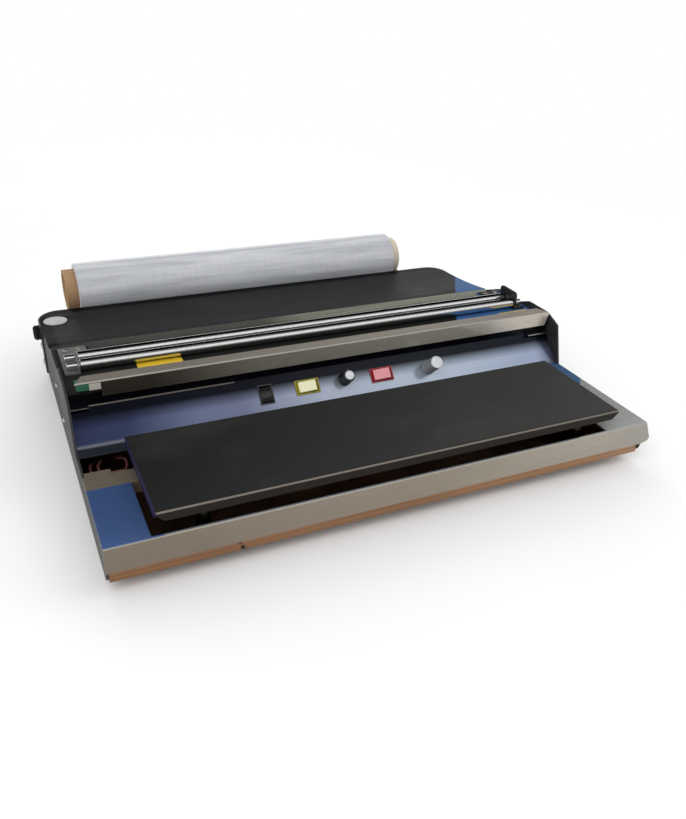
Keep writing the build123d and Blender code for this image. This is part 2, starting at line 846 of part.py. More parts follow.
def cradle_bracket(side):
    """Angle on the rear cover that carries the cradle's rollers."""
    inner = side * (cradle_half + end_gap)
    with BuildPart() as bracket:
        with BuildSketch(section(inner)) as arm:
            with BuildLine():
                Polyline((cover_back, bracket_heights[0]), (cover_back, bracket_heights[1]),
                         (overall_depth, bracket_heights[1]),
                         (overall_depth, cradle_height - cradle_radius),
                         (cradle_depths[0], bracket_heights[0]), close=True)
            make_face()
            fillet(arm.vertices().group_by(Axis.X)[-1], cradle_radius)
            for depth in cradle_depths:
                with Locations((depth, cradle_height)):
                    Circle(cradle_pin + running_gap, mode=Mode.SUBTRACT)
        extrude(amount=side * bracket_sheet)
        with BuildSketch(upright(cover_back)):
            with Locations((inner + side * bracket_flange / 2, sum(bracket_heights) / 2)):
                Rectangle(bracket_flange, bracket_heights[1] - bracket_heights[0])
        extrude(amount=-bracket_sheet)
    return bracket


save(cradle_bracket(-1), "left_cradle_bracket")
save(cradle_bracket(1), "right_cradle_bracket")

with BuildPart() as cradle_screws:
    with BuildSketch(upright(cover_back + bracket_sheet)):
        for side in (-1, 1):
            with Locations((side * (cradle_half + end_gap + bracket_flange * 0.6),
                            sum(bracket_heights) / 2)):
                with GridLocations(0, bracket_screw_pitch, 1, 2):
                    RegularPolygon(head_radius, 6)
    extrude(amount=-head_height)
save(cradle_screws, "cradle_screws")


def rocker_switch(place, bezel, standing, rise):
    """Housing and rocker of a switch that rocks along the bezel's length."""
    length, width = bezel
    hole = (length - 2 * bezel_lap, width - 2 * bezel_lap)
    pocket = (hole[0] - 2 * switch_wall, hole[1] - 2 * switch_wall)
    reach = pocket[0] / 2 - rocker_gap
    face = on_panel(place, 0, standing)
    pivot = on_panel(place, -pivot_depth).origin
    side_view = Plane(origin=pivot, x_dir=face.x_dir, z_dir=-face.y_dir)
    tipped = face.x_dir * cos(rocker_tilt) + face.z_dir * sin(rocker_tilt)
    with BuildPart() as housing:
        with BuildSketch(face):
            RectangleRounded(length, width, 0.8)
        extrude(amount=bezel_height)
        with BuildSketch(face):
            Rectangle(*hole)
        extrude(amount=-switch_depth)
        with BuildSketch(face.offset(bezel_height)):
            Rectangle(*pocket)
        extrude(amount=-bezel_height - pivot_depth - pocket_depth, mode=Mode.SUBTRACT)
        with BuildSketch(side_view):
            Circle(trunnion_radius + running_gap)
        extrude(amount=hole[1] / 2, both=True, mode=Mode.SUBTRACT)
        with BuildSketch(face.offset(-switch_depth)):
            with GridLocations(hole[0] / 2.6, 0, 3, 1):
                Rectangle(0.8, 4.8)
        extrude(amount=-lug_length)
    top = rise + pivot_depth
    wide_top = sqrt(reach ** 2 - top ** 2)
    wide_bottom = sqrt(reach ** 2 - rocker_depth ** 2)
    with BuildPart() as rocker:
        with BuildSketch(Plane(origin=pivot, x_dir=tipped, z_dir=-face.y_dir)):
            with BuildLine():
                ThreePointArc((-wide_top, top), (-reach, 0), (-wide_bottom, -rocker_depth))
                Line((-wide_bottom, -rocker_depth), (wide_bottom, -rocker_depth))
                ThreePointArc((wide_bottom, -rocker_depth), (reach, 0), (wide_top, top))
                ThreePointArc((wide_top, top), (0, top - rocker_dip), (-wide_top, top))
            make_face()
        extrude(amount=pocket[1] / 2 - rocker_gap, both=True)
        with BuildSketch(side_view):
            Circle(trunnion_radius)
        extrude(amount=pocket[1] / 2 + switch_wall, both=True)
    return housing, rocker


for name, values in rocker_switches.items():
    switch_housing, switch_rocker = rocker_switch(*values)
    save(switch_housing, f"{name}_housing")
    save(switch_rocker, f"{name}_rocker")


def knob(place, size, cap):
    """Turned knob with its stem, and the bright cap on its end."""
    base, end, length = size
    face = on_panel(place)
    profile = Plane(origin=face.origin, x_dir=face.x_dir, z_dir=-face.y_dir)
    with BuildPart() as grip:
        with BuildSketch(profile):
            with BuildLine():
                Polyline((0, -sheet - stem_depth), (stem_radius, -sheet - stem_depth),
                         (stem_radius, knob_gap), (base, knob_gap),
                         (end, knob_gap + length), (0, knob_gap + length), close=True)
            make_face()
        revolve(axis=Axis(face.origin, face.z_dir))
    with BuildPart() as lid:
        with BuildSketch(profile):
            with BuildLine():
                Polyline((0, knob_gap + length), (cap[0], knob_gap + length),
                         (cap[0], knob_gap + length + cap[1] - cap_edge),
                         (cap[0] - cap_edge, knob_gap + length + cap[1]),
                         (0, knob_gap + length + cap[1]), close=True)
            make_face()
        revolve(axis=Axis(face.origin, face.z_dir))
    return grip, lid


plate_grip, plate_lid = knob(plate_dial, plate_knob, plate_cap)
save(plate_grip, "plate_knob")
save(plate_lid, "plate_knob_cap")
cutter_grip, cutter_lid = knob(cutter_dial, cutter_knob, cutter_cap)
save(cutter_grip, "cutter_knob")
save(cutter_lid, "cutter_knob_cap")


def control(place, square):
    """Round or square control body behind the panel, with the bush for a stem."""
    with BuildPart() as unit:
        with BuildSketch(on_panel(place, -sheet)):
            if square:
                RectangleRounded(2 * control_radius, 2 * control_radius, 2.0)
            else:
                Circle(control_radius)
        extrude(amount=-control_depth)
        with BuildSketch(on_panel(place, -sheet)):
            Circle(bush_radius)
        extrude(amount=sheet)
        with BuildSketch(on_panel(place, 0)):
            Circle(stem_radius + running_gap)
        extrude(amount=-sheet - stem_depth - end_gap, mode=Mode.SUBTRACT)
        with BuildSketch(on_panel(place, -sheet - control_depth)):
            with GridLocations(control_radius, 0, 2, 1):
                Rectangle(0.8, 6.3)
        extrude(amount=-lug_length)
    return unit


save(control(plate_dial, False), "plate_thermostat")
save(control(cutter_dial, True), "cutter_regulator")

# Transformer: a laminated core with two windows, and the winding on its middle leg
with BuildPart() as transformer_core:
    with BuildSketch(section(transformer_place[0] - core_stack[1] / 2)):
        with Locations((transformer_place[1], floor_height + core_stack[2] / 2)):
            Rectangle(core_stack[0], core_stack[2])
            with GridLocations(core_stack[0] / 2 - core_window[0] / 2, 0, 2, 1):
                Rectangle(*core_window, mode=Mode.SUBTRACT)
    extrude(amount=core_stack[1])
save(transformer_core, "transformer_core")

winding_wide = core_stack[0] / 2 + core_window[0] / 2
leg_wide = core_stack[0] / 2 - 1.5 * core_window[0]
with BuildPart() as transformer_winding:
    with BuildSketch(plan(floor_height + core_stack[2] / 2 - core_window[1] / 2)):
        with Locations(transformer_place):
            RectangleRounded(core_stack[1] + 2 * winding_wall, winding_wide, 3.0)
            Rectangle(core_stack[1], leg_wide, mode=Mode.SUBTRACT)
    extrude(amount=core_window[1])
save(transformer_winding, "transformer_winding")

with BuildPart() as terminal_block:
    with BuildSketch(plan(floor_height)):
        with Locations(terminal_place):
            Rectangle(terminal_size[0], terminal_size[1])
    extrude(amount=terminal_size[2])
    with BuildSketch(plan(floor_height + terminal_size[2])):
        with Locations(terminal_place):
            with GridLocations(terminal_size[0] / terminal_ways, terminal_size[1] / 2,
                               terminal_ways, 2):
                RegularPolygon(terminal_screw, 6)
    extrude(amount=-terminal_size[2] / 3, mode=Mode.SUBTRACT)
save(terminal_block, "terminal_block")
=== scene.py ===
"""Finishes, small parts, lights and camera of a film wrapping machine.

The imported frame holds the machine's sheet metal, rollers and switches. This script gives
each of them its finish, and models the pieces whose form is finer than the frame's.
Metres, X to the right, Y to the back, Z up from the table.
"""

import json
import logging
from dataclasses import dataclass
from enum import Enum
from math import atan2, cos, degrees, radians, sin
from random import Random
from typing import Callable, Sequence

import bmesh
import bpy
from mathutils import Matrix, Vector

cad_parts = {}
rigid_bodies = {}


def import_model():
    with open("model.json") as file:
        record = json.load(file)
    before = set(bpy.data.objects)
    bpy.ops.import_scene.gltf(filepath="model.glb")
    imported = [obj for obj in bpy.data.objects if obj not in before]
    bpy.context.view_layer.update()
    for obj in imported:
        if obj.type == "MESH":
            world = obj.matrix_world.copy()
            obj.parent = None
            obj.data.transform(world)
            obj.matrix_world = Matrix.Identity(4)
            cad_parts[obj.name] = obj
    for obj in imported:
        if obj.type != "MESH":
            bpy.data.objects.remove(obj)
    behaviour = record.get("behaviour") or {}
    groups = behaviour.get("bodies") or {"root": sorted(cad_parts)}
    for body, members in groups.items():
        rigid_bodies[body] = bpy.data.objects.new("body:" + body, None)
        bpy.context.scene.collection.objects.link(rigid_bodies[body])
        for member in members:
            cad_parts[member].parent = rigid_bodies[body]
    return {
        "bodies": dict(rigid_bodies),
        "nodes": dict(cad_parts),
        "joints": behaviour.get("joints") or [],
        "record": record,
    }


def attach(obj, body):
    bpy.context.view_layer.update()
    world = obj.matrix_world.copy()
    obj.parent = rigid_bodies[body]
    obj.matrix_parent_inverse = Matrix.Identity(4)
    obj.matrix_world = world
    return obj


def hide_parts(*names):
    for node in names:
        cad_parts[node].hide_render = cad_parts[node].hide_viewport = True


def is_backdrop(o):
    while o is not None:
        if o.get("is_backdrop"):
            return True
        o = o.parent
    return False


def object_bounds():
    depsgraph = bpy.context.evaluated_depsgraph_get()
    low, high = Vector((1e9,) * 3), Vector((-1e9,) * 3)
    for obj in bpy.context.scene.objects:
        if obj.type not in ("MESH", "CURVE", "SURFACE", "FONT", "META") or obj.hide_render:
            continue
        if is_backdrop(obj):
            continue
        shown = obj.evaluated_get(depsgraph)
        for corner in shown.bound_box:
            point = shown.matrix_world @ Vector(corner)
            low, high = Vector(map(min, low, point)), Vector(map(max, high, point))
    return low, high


logging.basicConfig(level=logging.INFO, format="%(levelname)s %(message)s")
log = logging.getLogger("wrapping_machine")

Material = bpy.types.Material
Piece = bpy.types.Object
Socket = bpy.types.NodeSocket
Colour = tuple[float, float, float]
Stop = tuple[float, float, float, float]
Wall = tuple[Colour, float]
Ring = tuple[float, float]
Place = Sequence[float]

RIGHT: Colour = (1.0, 0.0, 0.0)
LEFT: Colour = (-1.0, 0.0, 0.0)
BACK: Colour = (0.0, 1.0, 0.0)
FRONT: Colour = (0.0, -1.0, 0.0)
ABOVE: Colour = (0.0, 0.0, 1.0)
BELOW: Colour = (0.0, 0.0, -1.0)
MM = 0.001
HALF_WIDTH = 0.245
WELD_GAP = 0.002 * MM
SEAM_GAP = 0.004 * MM
FLAT_ANGLE = 1.0
SHARP_ANGLE = 40.0


def tone(*chip: float) -> Colour:
    """Linear colour of a paint chip's red, green and blue on the screen's 0 to 255 scale."""
    shares = (value / 255 for value in chip)
    return tuple(x / 12.92 if x <= 0.04045 else ((x + 0.055) / 1.055) ** 2.4 for x in shares)


@dataclass(frozen=True)
class Zone:
    """Part of a piece that has another colour.

    Attributes:
        walls: planes that it lies in front of, each a normal and a distance in metres.
        colour: its colour.
        blur: width of its edge, in metres.
        share: how fully it covers what lies under it.
    """

    walls: tuple[Wall, ...]
    colour: Colour
    blur: float = 0.0008
    share: float = 1.0


class Axis(Enum):
    """Direction of a grain, a gradient or a turned piece."""

    X = 0
    Y = 1
    Z = 2


class Recipe:
    """The nodes of a material or of the world, built up one step at a time."""

    def __init__(self, owner: bpy.types.ID) -> None:
        """Turns the owner's nodes on.

        Args:
            owner: the new material or world.
        """
        owner.use_nodes = True
        self.nodes = owner.node_tree.nodes
        self.links = owner.node_tree.links
        self.place = self.nodes.new("ShaderNodeTexCoord").outputs["Object"]

    def fill(self, node: bpy.types.Node, inputs: dict[object, object]) -> bpy.types.NodeOutputs:
        """Feeds several inputs of a node.

        Args:
            node: the node.
            inputs: outputs, numbers, colours or vectors that go in, by the input's name or number.

        Returns:
            The node's outputs.
        """
        for key, value in inputs.items():
            socket = node.inputs[key]
            if isinstance(value, Socket):
                self.links.new(value, socket)
            elif isinstance(value, tuple) and len(socket.default_value) == 4:
                socket.default_value = (*value, 1.0)
            else:
                socket.default_value = value
        return node.outputs

    def surface(self, **values: object) -> Socket:
        """Sets the shader's sockets, underscores read as spaces, and gives its output."""
        named = {name.replace("_", " "): value for name, value in values.items()}
        return self.fill(self.nodes["Principled BSDF"], named)[0]

    def seen(self) -> Socket:
        """1 for rays from the camera, or on from a reflection or a clear piece; else 0."""
        path = self.nodes.new("ShaderNodeLightPath").outputs
        onward = self.sum(path["Is Glossy Ray"], path["Is Transmission Ray"])
        return self.sum(path["Is Camera Ray"], onward)

    def scaled(self, scale: Place) -> Socket:
        """The piece's own coordinates, stretched by a factor along each axis."""
        mapping = self.nodes.new("ShaderNodeMapping")
        return self.fill(mapping, {"Vector": self.place, "Scale": scale})["Vector"]

    def along(self, axis: Axis) -> Socket:
        """The piece's coordinate along one axis, in metres."""
        split = self.nodes.new("ShaderNodeSeparateXYZ")
        return self.fill(split, {0: self.place})[axis.value]

    def noise(self, where: Socket, scale: float, detail: float = 3.0,
              roughness: float = 0.55) -> Socket:
        """Cloudy pattern of 0 to 1, with as many clouds as scale in each unit of where."""
        cloud = self.nodes.new("ShaderNodeTexNoise")
        return self.fill(cloud, {"Vector": where, "Scale": scale, "Detail": detail,
                                 "Roughness": roughness})["Fac"]

    def between(self, value: Socket, low: float, high: float, to_low: float = 0.0,
                to_high: float = 1.0, smooth: bool = False) -> Socket:
        """Value moved from one range to another, and kept inside it.

        Args:
            value: what is moved.
            low: value that becomes to_low.
            high: value that becomes to_high.
            to_low: first end of the new range.
            to_high: second end of the new range.
            smooth: eases both ends.

        Returns:
            The new value.
        """
        ranged = self.nodes.new("ShaderNodeMapRange")
        ranged.interpolation_type = "SMOOTHSTEP" if smooth else "LINEAR"
        return self.fill(ranged, {"Value": value, "From Min": low, "From Max": high,
                                  "To Min": to_low, "To Max": to_high})["Result"]

    def ramp(self, value: Socket, stops: Sequence[Stop]) -> Socket:
        """Colour that changes with a value.

        Args:
            value: value of 0 to 1.
            stops: values, each with the red, green and blue of its paint chip.

        Returns:
            The colour.
        """
        band = self.nodes.new("ShaderNodeValToRGB")
        points = band.color_ramp.elements
        while len(points) < len(stops):
            points.new(1.0)
        for point, (at, *chip) in zip(points, sorted(stops)):
            point.position = at
            point.color = (*tone(*chip), 1.0)
        return self.fill(band, {0: value})["Color"]

    def mix(self, share: object, first: object, second: object) -> Socket:
        """Two colours mixed.

        Args:
            share: how much of the second.
            first: colour under.
            second: colour over.

        Returns:
            The mixed colour.
        """
        blend = self.nodes.new("ShaderNodeMix")
        blend.data_type = "RGBA"
        blend.clamp_result = True
        return self.fill(blend, {0: share, 6: first, 7: second})[2]

    def sum(self, first: object, second: object, how: str = "ADD") -> Socket:
        """Two values joined by a plain calculation, kept within 0 and 1.

        Args:
            first: one value.
            second: the other value.
            how: the calculation.

        Returns:
            The result.
        """
        node = self.nodes.new("ShaderNodeMath")
        node.operation = how
        node.use_clamp = True
        return self.fill(node, {0: first, 1: second})[0]

    def zoned(self, base: object, zones: Sequence[Zone]) -> object:
        """Lays zones of other colours over a base colour.

        Args:
            base: colour under them.
            zones: what is laid over it, in order.

        Returns:
            The colour with the zones on it.
        """
        for zone in zones:
            inside: object = zone.share
            for normal, distance in zone.walls:
                dot = self.nodes.new("ShaderNodeVectorMath")
                dot.operation = "DOT_PRODUCT"
                reach = self.fill(dot, {0: self.place, 1: normal})["Value"]
                front = self.between(reach, distance - zone.blur / 2, distance + zone.blur / 2)
                inside = self.sum(front, inside, "MULTIPLY")
            base = self.mix(inside, base, zone.colour)
        return base

    def relief(self, height: Socket, depth: float, strength: float) -> None:
        """Roughens the surface by a pattern of 0 to 1 whose full height is depth, in metres."""
        values = {"Strength": strength, "Distance": depth, "Height": height}
        self.surface(Normal=self.fill(self.nodes.new("ShaderNodeBump"), values)["Normal"])


def shade(colour: Colour, factor: float) -> Colour:
    """The colour made lighter or darker by a factor."""
    red, green, blue = colour
    return red * factor, green * factor, blue * factor


@dataclass(frozen=True)
class Finish:
    """One finish of the machine.

    Where a kind of finish has them, colour is its colour, roughness says how blurred its
    reflections are, and zones are parts of it with other colours.

    Attributes:
        name: the material's name.
    """

    name: str

    def material(self) -> Material:
        """The material, painted the way of its kind."""
        material = bpy.data.materials.new(self.name)
        self.paint(Recipe(material))
        return material

    def paint(self, made: Recipe) -> None:
        """Adds the finish's nodes to an empty recipe."""


@dataclass(frozen=True)
class SheetSteel(Finish):
    """Rolled or brushed steel sheet, whose colour may change along one axis.

    Attributes:
        stops: places of 0 to 1 between low and high, and the colour at each.
        axis: axis along which the colour changes.
        low: coordinate of stop 0, in metres.
        high: coordinate of stop 1, in metres.
        grain: axis along which the brush marks run.
        marks: how strongly the brush marks show.
        soil: how strongly fingermarks and wear show.
        metallic: share of it that mirrors as metal.
        gloss: strength of the other share's reflection.
    """

    stops: tuple[Stop, ...]
    axis: Axis = Axis.X
    low: float = -HALF_WIDTH
    high: float = HALF_WIDTH
    grain: Axis = Axis.X
    roughness: float = 0.32
    marks: float = 0.25
    soil: float = 0.35
    metallic: float = 1.0
    gloss: float = 0.5
    zones: tuple[Zone, ...] = ()

    def paint(self, made: Recipe) -> None:
        """Adds the finish's nodes to an empty recipe."""
        fine = [900.0] * 3
        fine[self.grain.value] = 9.0
        brush = made.noise(made.scaled(fine), 1.0, 2.0, 0.6)
        cloud = made.noise(made.place, 16.0, 4.0, 0.6)
        base = made.ramp(made.between(made.along(self.axis), self.low, self.high), self.stops)
        base = made.zoned(base, self.zones)
        streaks = made.between(brush, 0.35, 0.65, 0.0, self.marks)
        stains = made.between(cloud, 0.45, 0.75, 0.0, self.soil * 0.3)
        soiled = made.mix(stains, made.mix(streaks, base, (0.0, 0.0, 0.0)), tone(70, 60, 50))
        rough = made.between(made.sum(brush, cloud, "MULTIPLY"), 0.1, 0.5,
                             self.roughness * 0.75, self.roughness * 1.25)
        made.surface(Base_Color=soiled, Metallic=self.metallic, Roughness=rough,
                     Specular_IOR_Level=self.gloss)
        made.relief(brush, 0.00002, 0.4)


@dataclass(frozen=True)
class SatinCoat(Finish):
    """Dark non-stick or painted coat, with a fine orange peel and rubbed places.

    Attributes:
        stops: places of 0 to 1 across the machine's width, and the colour at each.
        sheen: strength of its reflection.
        rubbed: how strongly worn places show.
    """

    stops: tuple[Stop, ...]
    sheen: float = 0.25
    roughness: float = 0.42
    rubbed: float = 0.3
    zones: tuple[Zone, ...] = ()

    def paint(self, made: Recipe) -> None:
        """Adds the finish's nodes to an empty recipe."""
        peel = made.noise(made.place, 2200.0, 2.0)
        cloud = made.noise(made.scaled((0.6, 1.0, 1.0)), 14.0, 5.0, 0.62)
        base = made.ramp(made.between(made.along(Axis.X), -HALF_WIDTH, HALF_WIDTH), self.stops)
        worn = made.mix(made.between(cloud, 0.5, 0.8, 0.0, self.rubbed), base, tone(74, 72, 68))
        worn = made.zoned(worn, self.zones)
        rough = made.between(cloud, 0.3, 0.7, self.roughness * 0.85, self.roughness * 1.2)
        made.surface(Base_Color=worn, Specular_IOR_Level=self.sheen, Roughness=rough)
        made.relief(peel, 0.00003, 0.35)


@dataclass(frozen=True)
class Bright(Finish):
    """Plated or turned metal with fine rings or scratches.

    Attributes:
        rings: axis that the fine rings go round.
        scratch: strength of the rings.
    """

    colour: Colour
    roughness: float = 0.12
    rings: Axis = Axis.X
    scratch: float = 0.25

    def paint(self, made: Recipe) -> None:
        """Adds the finish's nodes to an empty recipe."""
        stretch = [40.0] * 3
        stretch[self.rings.value] = 1400.0
        ring = made.noise(made.scaled(stretch), 1.0, 3.0, 0.65)
        cloud = made.noise(made.place, 35.0, 3.0)
        tint = made.mix(made.between(ring, 0.4, 0.7, 0.0, self.scratch), self.colour,
                        shade(self.colour, 0.45))
        rough = made.between(cloud, 0.3, 0.7, self.roughness * 0.7, self.roughness * 1.5)
        made.surface(Base_Color=tint, Metallic=1.0, Roughness=rough)
        made.relief(ring, 0.00001, 0.3)


@dataclass(frozen=True)
class Moulded(Finish):
    """Moulded plastic, rubber or glazed ceramic.

    Attributes:
        grain: size of the moulded grain, in metres.
        depth: height of the grain, in metres.
        mottle: how far the colour varies.
        gloss: strength of its reflection.
        glow: share of light that passes under the surface.
    """

    colour: Colour
    roughness: float = 0.35
    grain: float = 0.0006
    depth: float = 0.00002
    mottle: float = 0.15
    gloss: float = 0.5
    glow: float = 0.0
    zones: tuple[Zone, ...] = ()

    def paint(self, made: Recipe) -> None:
        """Adds the finish's nodes to an empty recipe."""
        pits = made.noise(made.place, 1.0 / self.grain, 2.0)
        cloud = made.noise(made.place, 90.0, 3.0)
        tint = made.mix(made.between(cloud, 0.35, 0.7, 0.0, self.mottle), self.colour,
                        shade(self.colour, 0.55))
        tint = made.zoned(tint, self.zones)
        rough = made.between(cloud, 0.3, 0.7, self.roughness * 0.85, self.roughness * 1.2)
        made.surface(Base_Color=tint, Specular_IOR_Level=self.gloss, Subsurface_Weight=self.glow,
                     Subsurface_Scale=0.002, Roughness=rough)
        made.relief(pits, self.depth, 0.5)


@dataclass(frozen=True)
class WoundFilm(Finish):
    """Clear film wound in many layers, which reads as a milky white with faint rings."""

    name: str = "wound_film"

    def paint(self, made: Recipe) -> None:
        """Adds the finish's nodes to an empty recipe."""
        folds = made.noise(made.scaled((1.0, 14.0, 14.0)), 9.0, 4.0, 0.6)
        rings = made.noise(made.scaled((260.0, 3.0, 3.0)), 1.0, 2.0)
        base = made.ramp(folds, ((0.30, 176, 179, 184), (0.52, 203, 205, 209),
                                 (0.75, 222, 223, 226)))
        tint = made.mix(made.between(rings, 0.4, 0.7, 0.0, 0.25), base, tone(184, 187, 193))
        made.surface(Base_Color=tint, Roughness=0.28, Coat_Weight=0.35, Coat_Roughness=0.12,
                     Subsurface_Weight=0.25, Subsurface_Scale=0.004, Specular_IOR_Level=0.5)
        made.relief(made.sum(folds, rings, "MULTIPLY"), 0.0004, 0.35)


@dataclass(frozen=True)
class Cardboard(Finish):
    """Spirally wound paper tube.

    Attributes:
        colours: paint chips of the left end and of the right end.
    """

    name: str = "core_paper"
    colours: tuple[Colour, Colour] = ((178, 146, 112), (222, 212, 192))

    def paint(self, made: Recipe) -> None:
        """Adds the finish's nodes to an empty recipe."""
        fibre = made.noise(made.scaled((500.0, 1500.0, 1500.0)), 1.0, 3.0, 0.7)
        left, right = self.colours
        along = made.between(made.along(Axis.X), -0.2, 0.18)
        ends = made.ramp(along, ((0.0, *left), (1.0, *right)))
        tint = made.mix(made.between(fibre, 0.35, 0.7, 0.0, 0.45), ends, tone(96, 68, 44))
        made.surface(Base_Color=tint, Roughness=0.9, Specular_IOR_Level=0.2)
        made.relief(fibre, 0.0001, 0.5)


def deselect() -> None:
    """Leaves edit mode and deselects everything."""
    if bpy.context.object and bpy.context.object.mode != "OBJECT":
        bpy.ops.object.mode_set(mode="OBJECT")
    bpy.ops.object.select_all(action="DESELECT")


def focus(piece: Piece) -> None:
    """Selects one piece alone and makes it active."""
    deselect()
    piece.select_set(True)
    bpy.context.view_layer.objects.active = piece


def pick_faces(piece: Piece, wanted: Callable[[bmesh.types.BMFace], bool]) -> None:
    """Enters edit mode and selects the faces that a test accepts.

    Args:
        piece: the piece to edit.
        wanted: the test.
    """
    focus(piece)
    bpy.ops.object.mode_set(mode="EDIT")
    bpy.ops.mesh.select_mode(type="FACE")
    bpy.ops.mesh.select_all(action="DESELECT")
    mesh = bmesh.from_edit_mesh(piece.data)
    for face in mesh.faces:
        face.select = wanted(face)
    mesh.select_flush(True)
    bmesh.update_edit_mesh(piece.data)


def to_object_mode() -> None:
    """Leaves edit mode."""
    bpy.ops.object.mode_set(mode="OBJECT")


def apply_place() -> None:
    """Moves the selected piece's place, turn and scale into its mesh."""
    bpy.ops.object.transform_apply(location=True, rotation=True, scale=True)


def joined(pieces: Sequence[Piece], name: str) -> Piece:
    """Several pieces made one object.

    Args:
        pieces: what is joined.
        name: name of the result.

    Returns:
        The one object.
    """
    deselect()
    for piece in pieces:
        piece.select_set(True)
    bpy.context.view_layer.objects.active = pieces[0]
    if len(pieces) > 1:
        bpy.ops.object.join()
    pieces[0].name = name
    return pieces[0]


def upright_on(origin: Place, normal: Place, across: Place = RIGHT) -> Matrix:
    """Placing matrix whose Z is a surface's normal.

    Args:
        origin: point on the surface.
        normal: direction away from it.
        across: direction that becomes X, unless it is the normal's own.

    Returns:
        The matrix.
    """
    out, level = Vector(normal).normalized(), Vector(across)
    if abs(out.dot(level)) > 0.99:
        level = Vector(BACK)
    side = (level - out * level.dot(out)).normalized()
    placed = Matrix((side, out.cross(side), out)).transposed().to_4x4()
    placed.translation = origin
    return placed


def block(name: str, low: Place, high: Place) -> Piece:
    """A square blank between two corners.

    Args:
        name: name of the piece.
        low: its lowest corner.
        high: its highest corner.

    Returns:
        The blank, not yet shaped.
    """
    deselect()
    start, end = Vector(low), Vector(high)
    bpy.ops.mesh.primitive_cube_add(size=1.0, location=(start + end) / 2)
    made = bpy.context.object
    made.name = name
    made.scale = end - start
    apply_place()
    return made


def rounding(piece: Piece, width: float, segments: int, angle: float) -> bpy.types.Modifier:
    """A modifier that rounds the piece's sharp edges.

    Args:
        piece: the piece.
        width: width of the rounding, in metres.
        segments: number of its steps.
        angle: smallest angle, in degrees, that counts as sharp.

    Returns:
        The modifier.
    """
    bevel = piece.modifiers.new("edges", "BEVEL")
    bevel.width = width
    bevel.segments = segments
    bevel.limit_method = "ANGLE"
    bevel.angle_limit = radians(angle)
    return bevel


def soften(piece: Piece, width: float, segments: int = 2, angle: float = 30.0) -> None:
    """Rounds the piece's sharp edges for good; its arguments are those of rounding."""
    focus(piece)
    bpy.ops.object.modifier_apply(modifier=rounding(piece, width, segments, angle).name)


class Frame:
    """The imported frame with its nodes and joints, and the materials made so far."""

    def __init__(self) -> None:
        """Loads the frame and keeps the size of its box."""
        self.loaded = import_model()
        self.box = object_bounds()
        self.joints = {joint["name"]: joint for joint in self.loaded["joints"]}
        self.made: dict[str, Material] = {}

    def pivot(self, joint: str) -> Vector:
        """Point that a joint turns about."""
        return Vector(self.joints[joint]["pos_m"])

    def axis(self, joint: str) -> Vector:
        """Direction of a joint's axis."""
        return Vector(self.joints[joint]["axis"]).normalized()

    def across(self, joint: str) -> Matrix:
        """Place of a piece that was turned about Z and spins on a joint along X."""
        middle = self.pivot(joint)
        return upright_on((0, middle.y, middle.z), RIGHT, BACK)

    def cover(self, piece: Piece, finish: Finish) -> None:
        """Gives a piece one finish, built the first time that it is used.

        Args:
            piece: the piece.
            finish: its finish.
        """
        if finish.name not in self.made:
            self.made[finish.name] = finish.material()
        piece.data.materials.clear()
        piece.data.materials.append(self.made[finish.name])

    def dress(self, edge: float, **finishes: Finish) -> None:
        """Gives nodes their finishes and, where asked, softened edges.

        Args:
            edge: width of the softened edges in metres, or 0 for none.
            finishes: the finish of each node, by the node's name.
        """
        for node, finish in finishes.items():
            piece = self.loaded["nodes"][node]
            self.cover(piece, finish)
            if edge:
                weld = piece.modifiers.new("weld", "WELD")
                weld.merge_threshold = WELD_GAP
                plain = piece.modifiers.new("plain", "DECIMATE")
                plain.decimate_type = "DISSOLVE"
                plain.angle_limit = radians(FLAT_ANGLE)
                rounding(piece, edge, 2, SHARP_ANGLE).use_clamp_overlap = False
            log.info("dressed %s in %s", node, finish.name)

    def add(self, piece: Piece, body: str, finish: Finish, slot: str, *nodes: str,
            place: Matrix | None = None, smooth: float = 35.0) -> None:
        """Finishes a new piece: its place, its finish, its body and what it stands for.

        Args:
            piece: the new piece.
            body: body that it rides on.
            finish: its finish.
            slot: material slot of the record; not used.
            nodes: nodes that it replaces.
            place: where it goes, if it isn't there yet.
            smooth: largest angle, in degrees, that is shaded as round.
        """
        if place is not None:
            piece.matrix_world = place
        focus(piece)
        apply_place()
        bpy.ops.object.shade_smooth_by_angle(angle=radians(smooth))
        self.cover(piece, finish)
        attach(piece, body)
        if nodes:
            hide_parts(*nodes)
        log.info("modelled %s", piece.name)


# Edges of painted reflections: the blue on the deck, the roller bed and the platform, and the pale
# grey on the platform, stand in for surroundings mirrored in the glossy sheets.
REFLECTION_EDGE: Wall = ((0.85, -0.527, 0.0), 0.144)
FAR_REFLECTION_EDGE: Wall = ((0.771, -0.637, 0.0), 0.2673)

PLATFORM_STEEL = SheetSteel(
    "platform_steel", ((0.0, 122, 111, 96), (0.5, 146, 135, 121), (0.85, 164, 156, 143),
    (1.0, 154, 150, 141)), roughness=0.3, marks=0.04, metallic=0.45,
    # Painted highlight: a light band along the rounded top edge of the front lip.
    zones=(Zone(((ABOVE, 0.0435), (FRONT, 0.2150)), tone(178, 172, 158)),
    Zone(((ABOVE, 0.0445),), tone(120, 126, 134)),
    # Painted reflections: the blue at the left and right ends and the pale grey past the far edge
    # stand in for surroundings mirrored in the polished tray.
    Zone(((ABOVE, 0.0445), (LEFT, 0.2)), tone(70, 98, 150)),
    Zone(((ABOVE, 0.0445), (RIGHT, 0.19)), tone(78, 116, 158)),
    Zone(((ABOVE, 0.0445), FAR_REFLECTION_EDGE), tone(176, 178, 176))))
PAN_STEEL = SheetSteel("pan_steel", ((0.0, 150, 112, 84), (1.0, 172, 134, 104)), roughness=0.4)
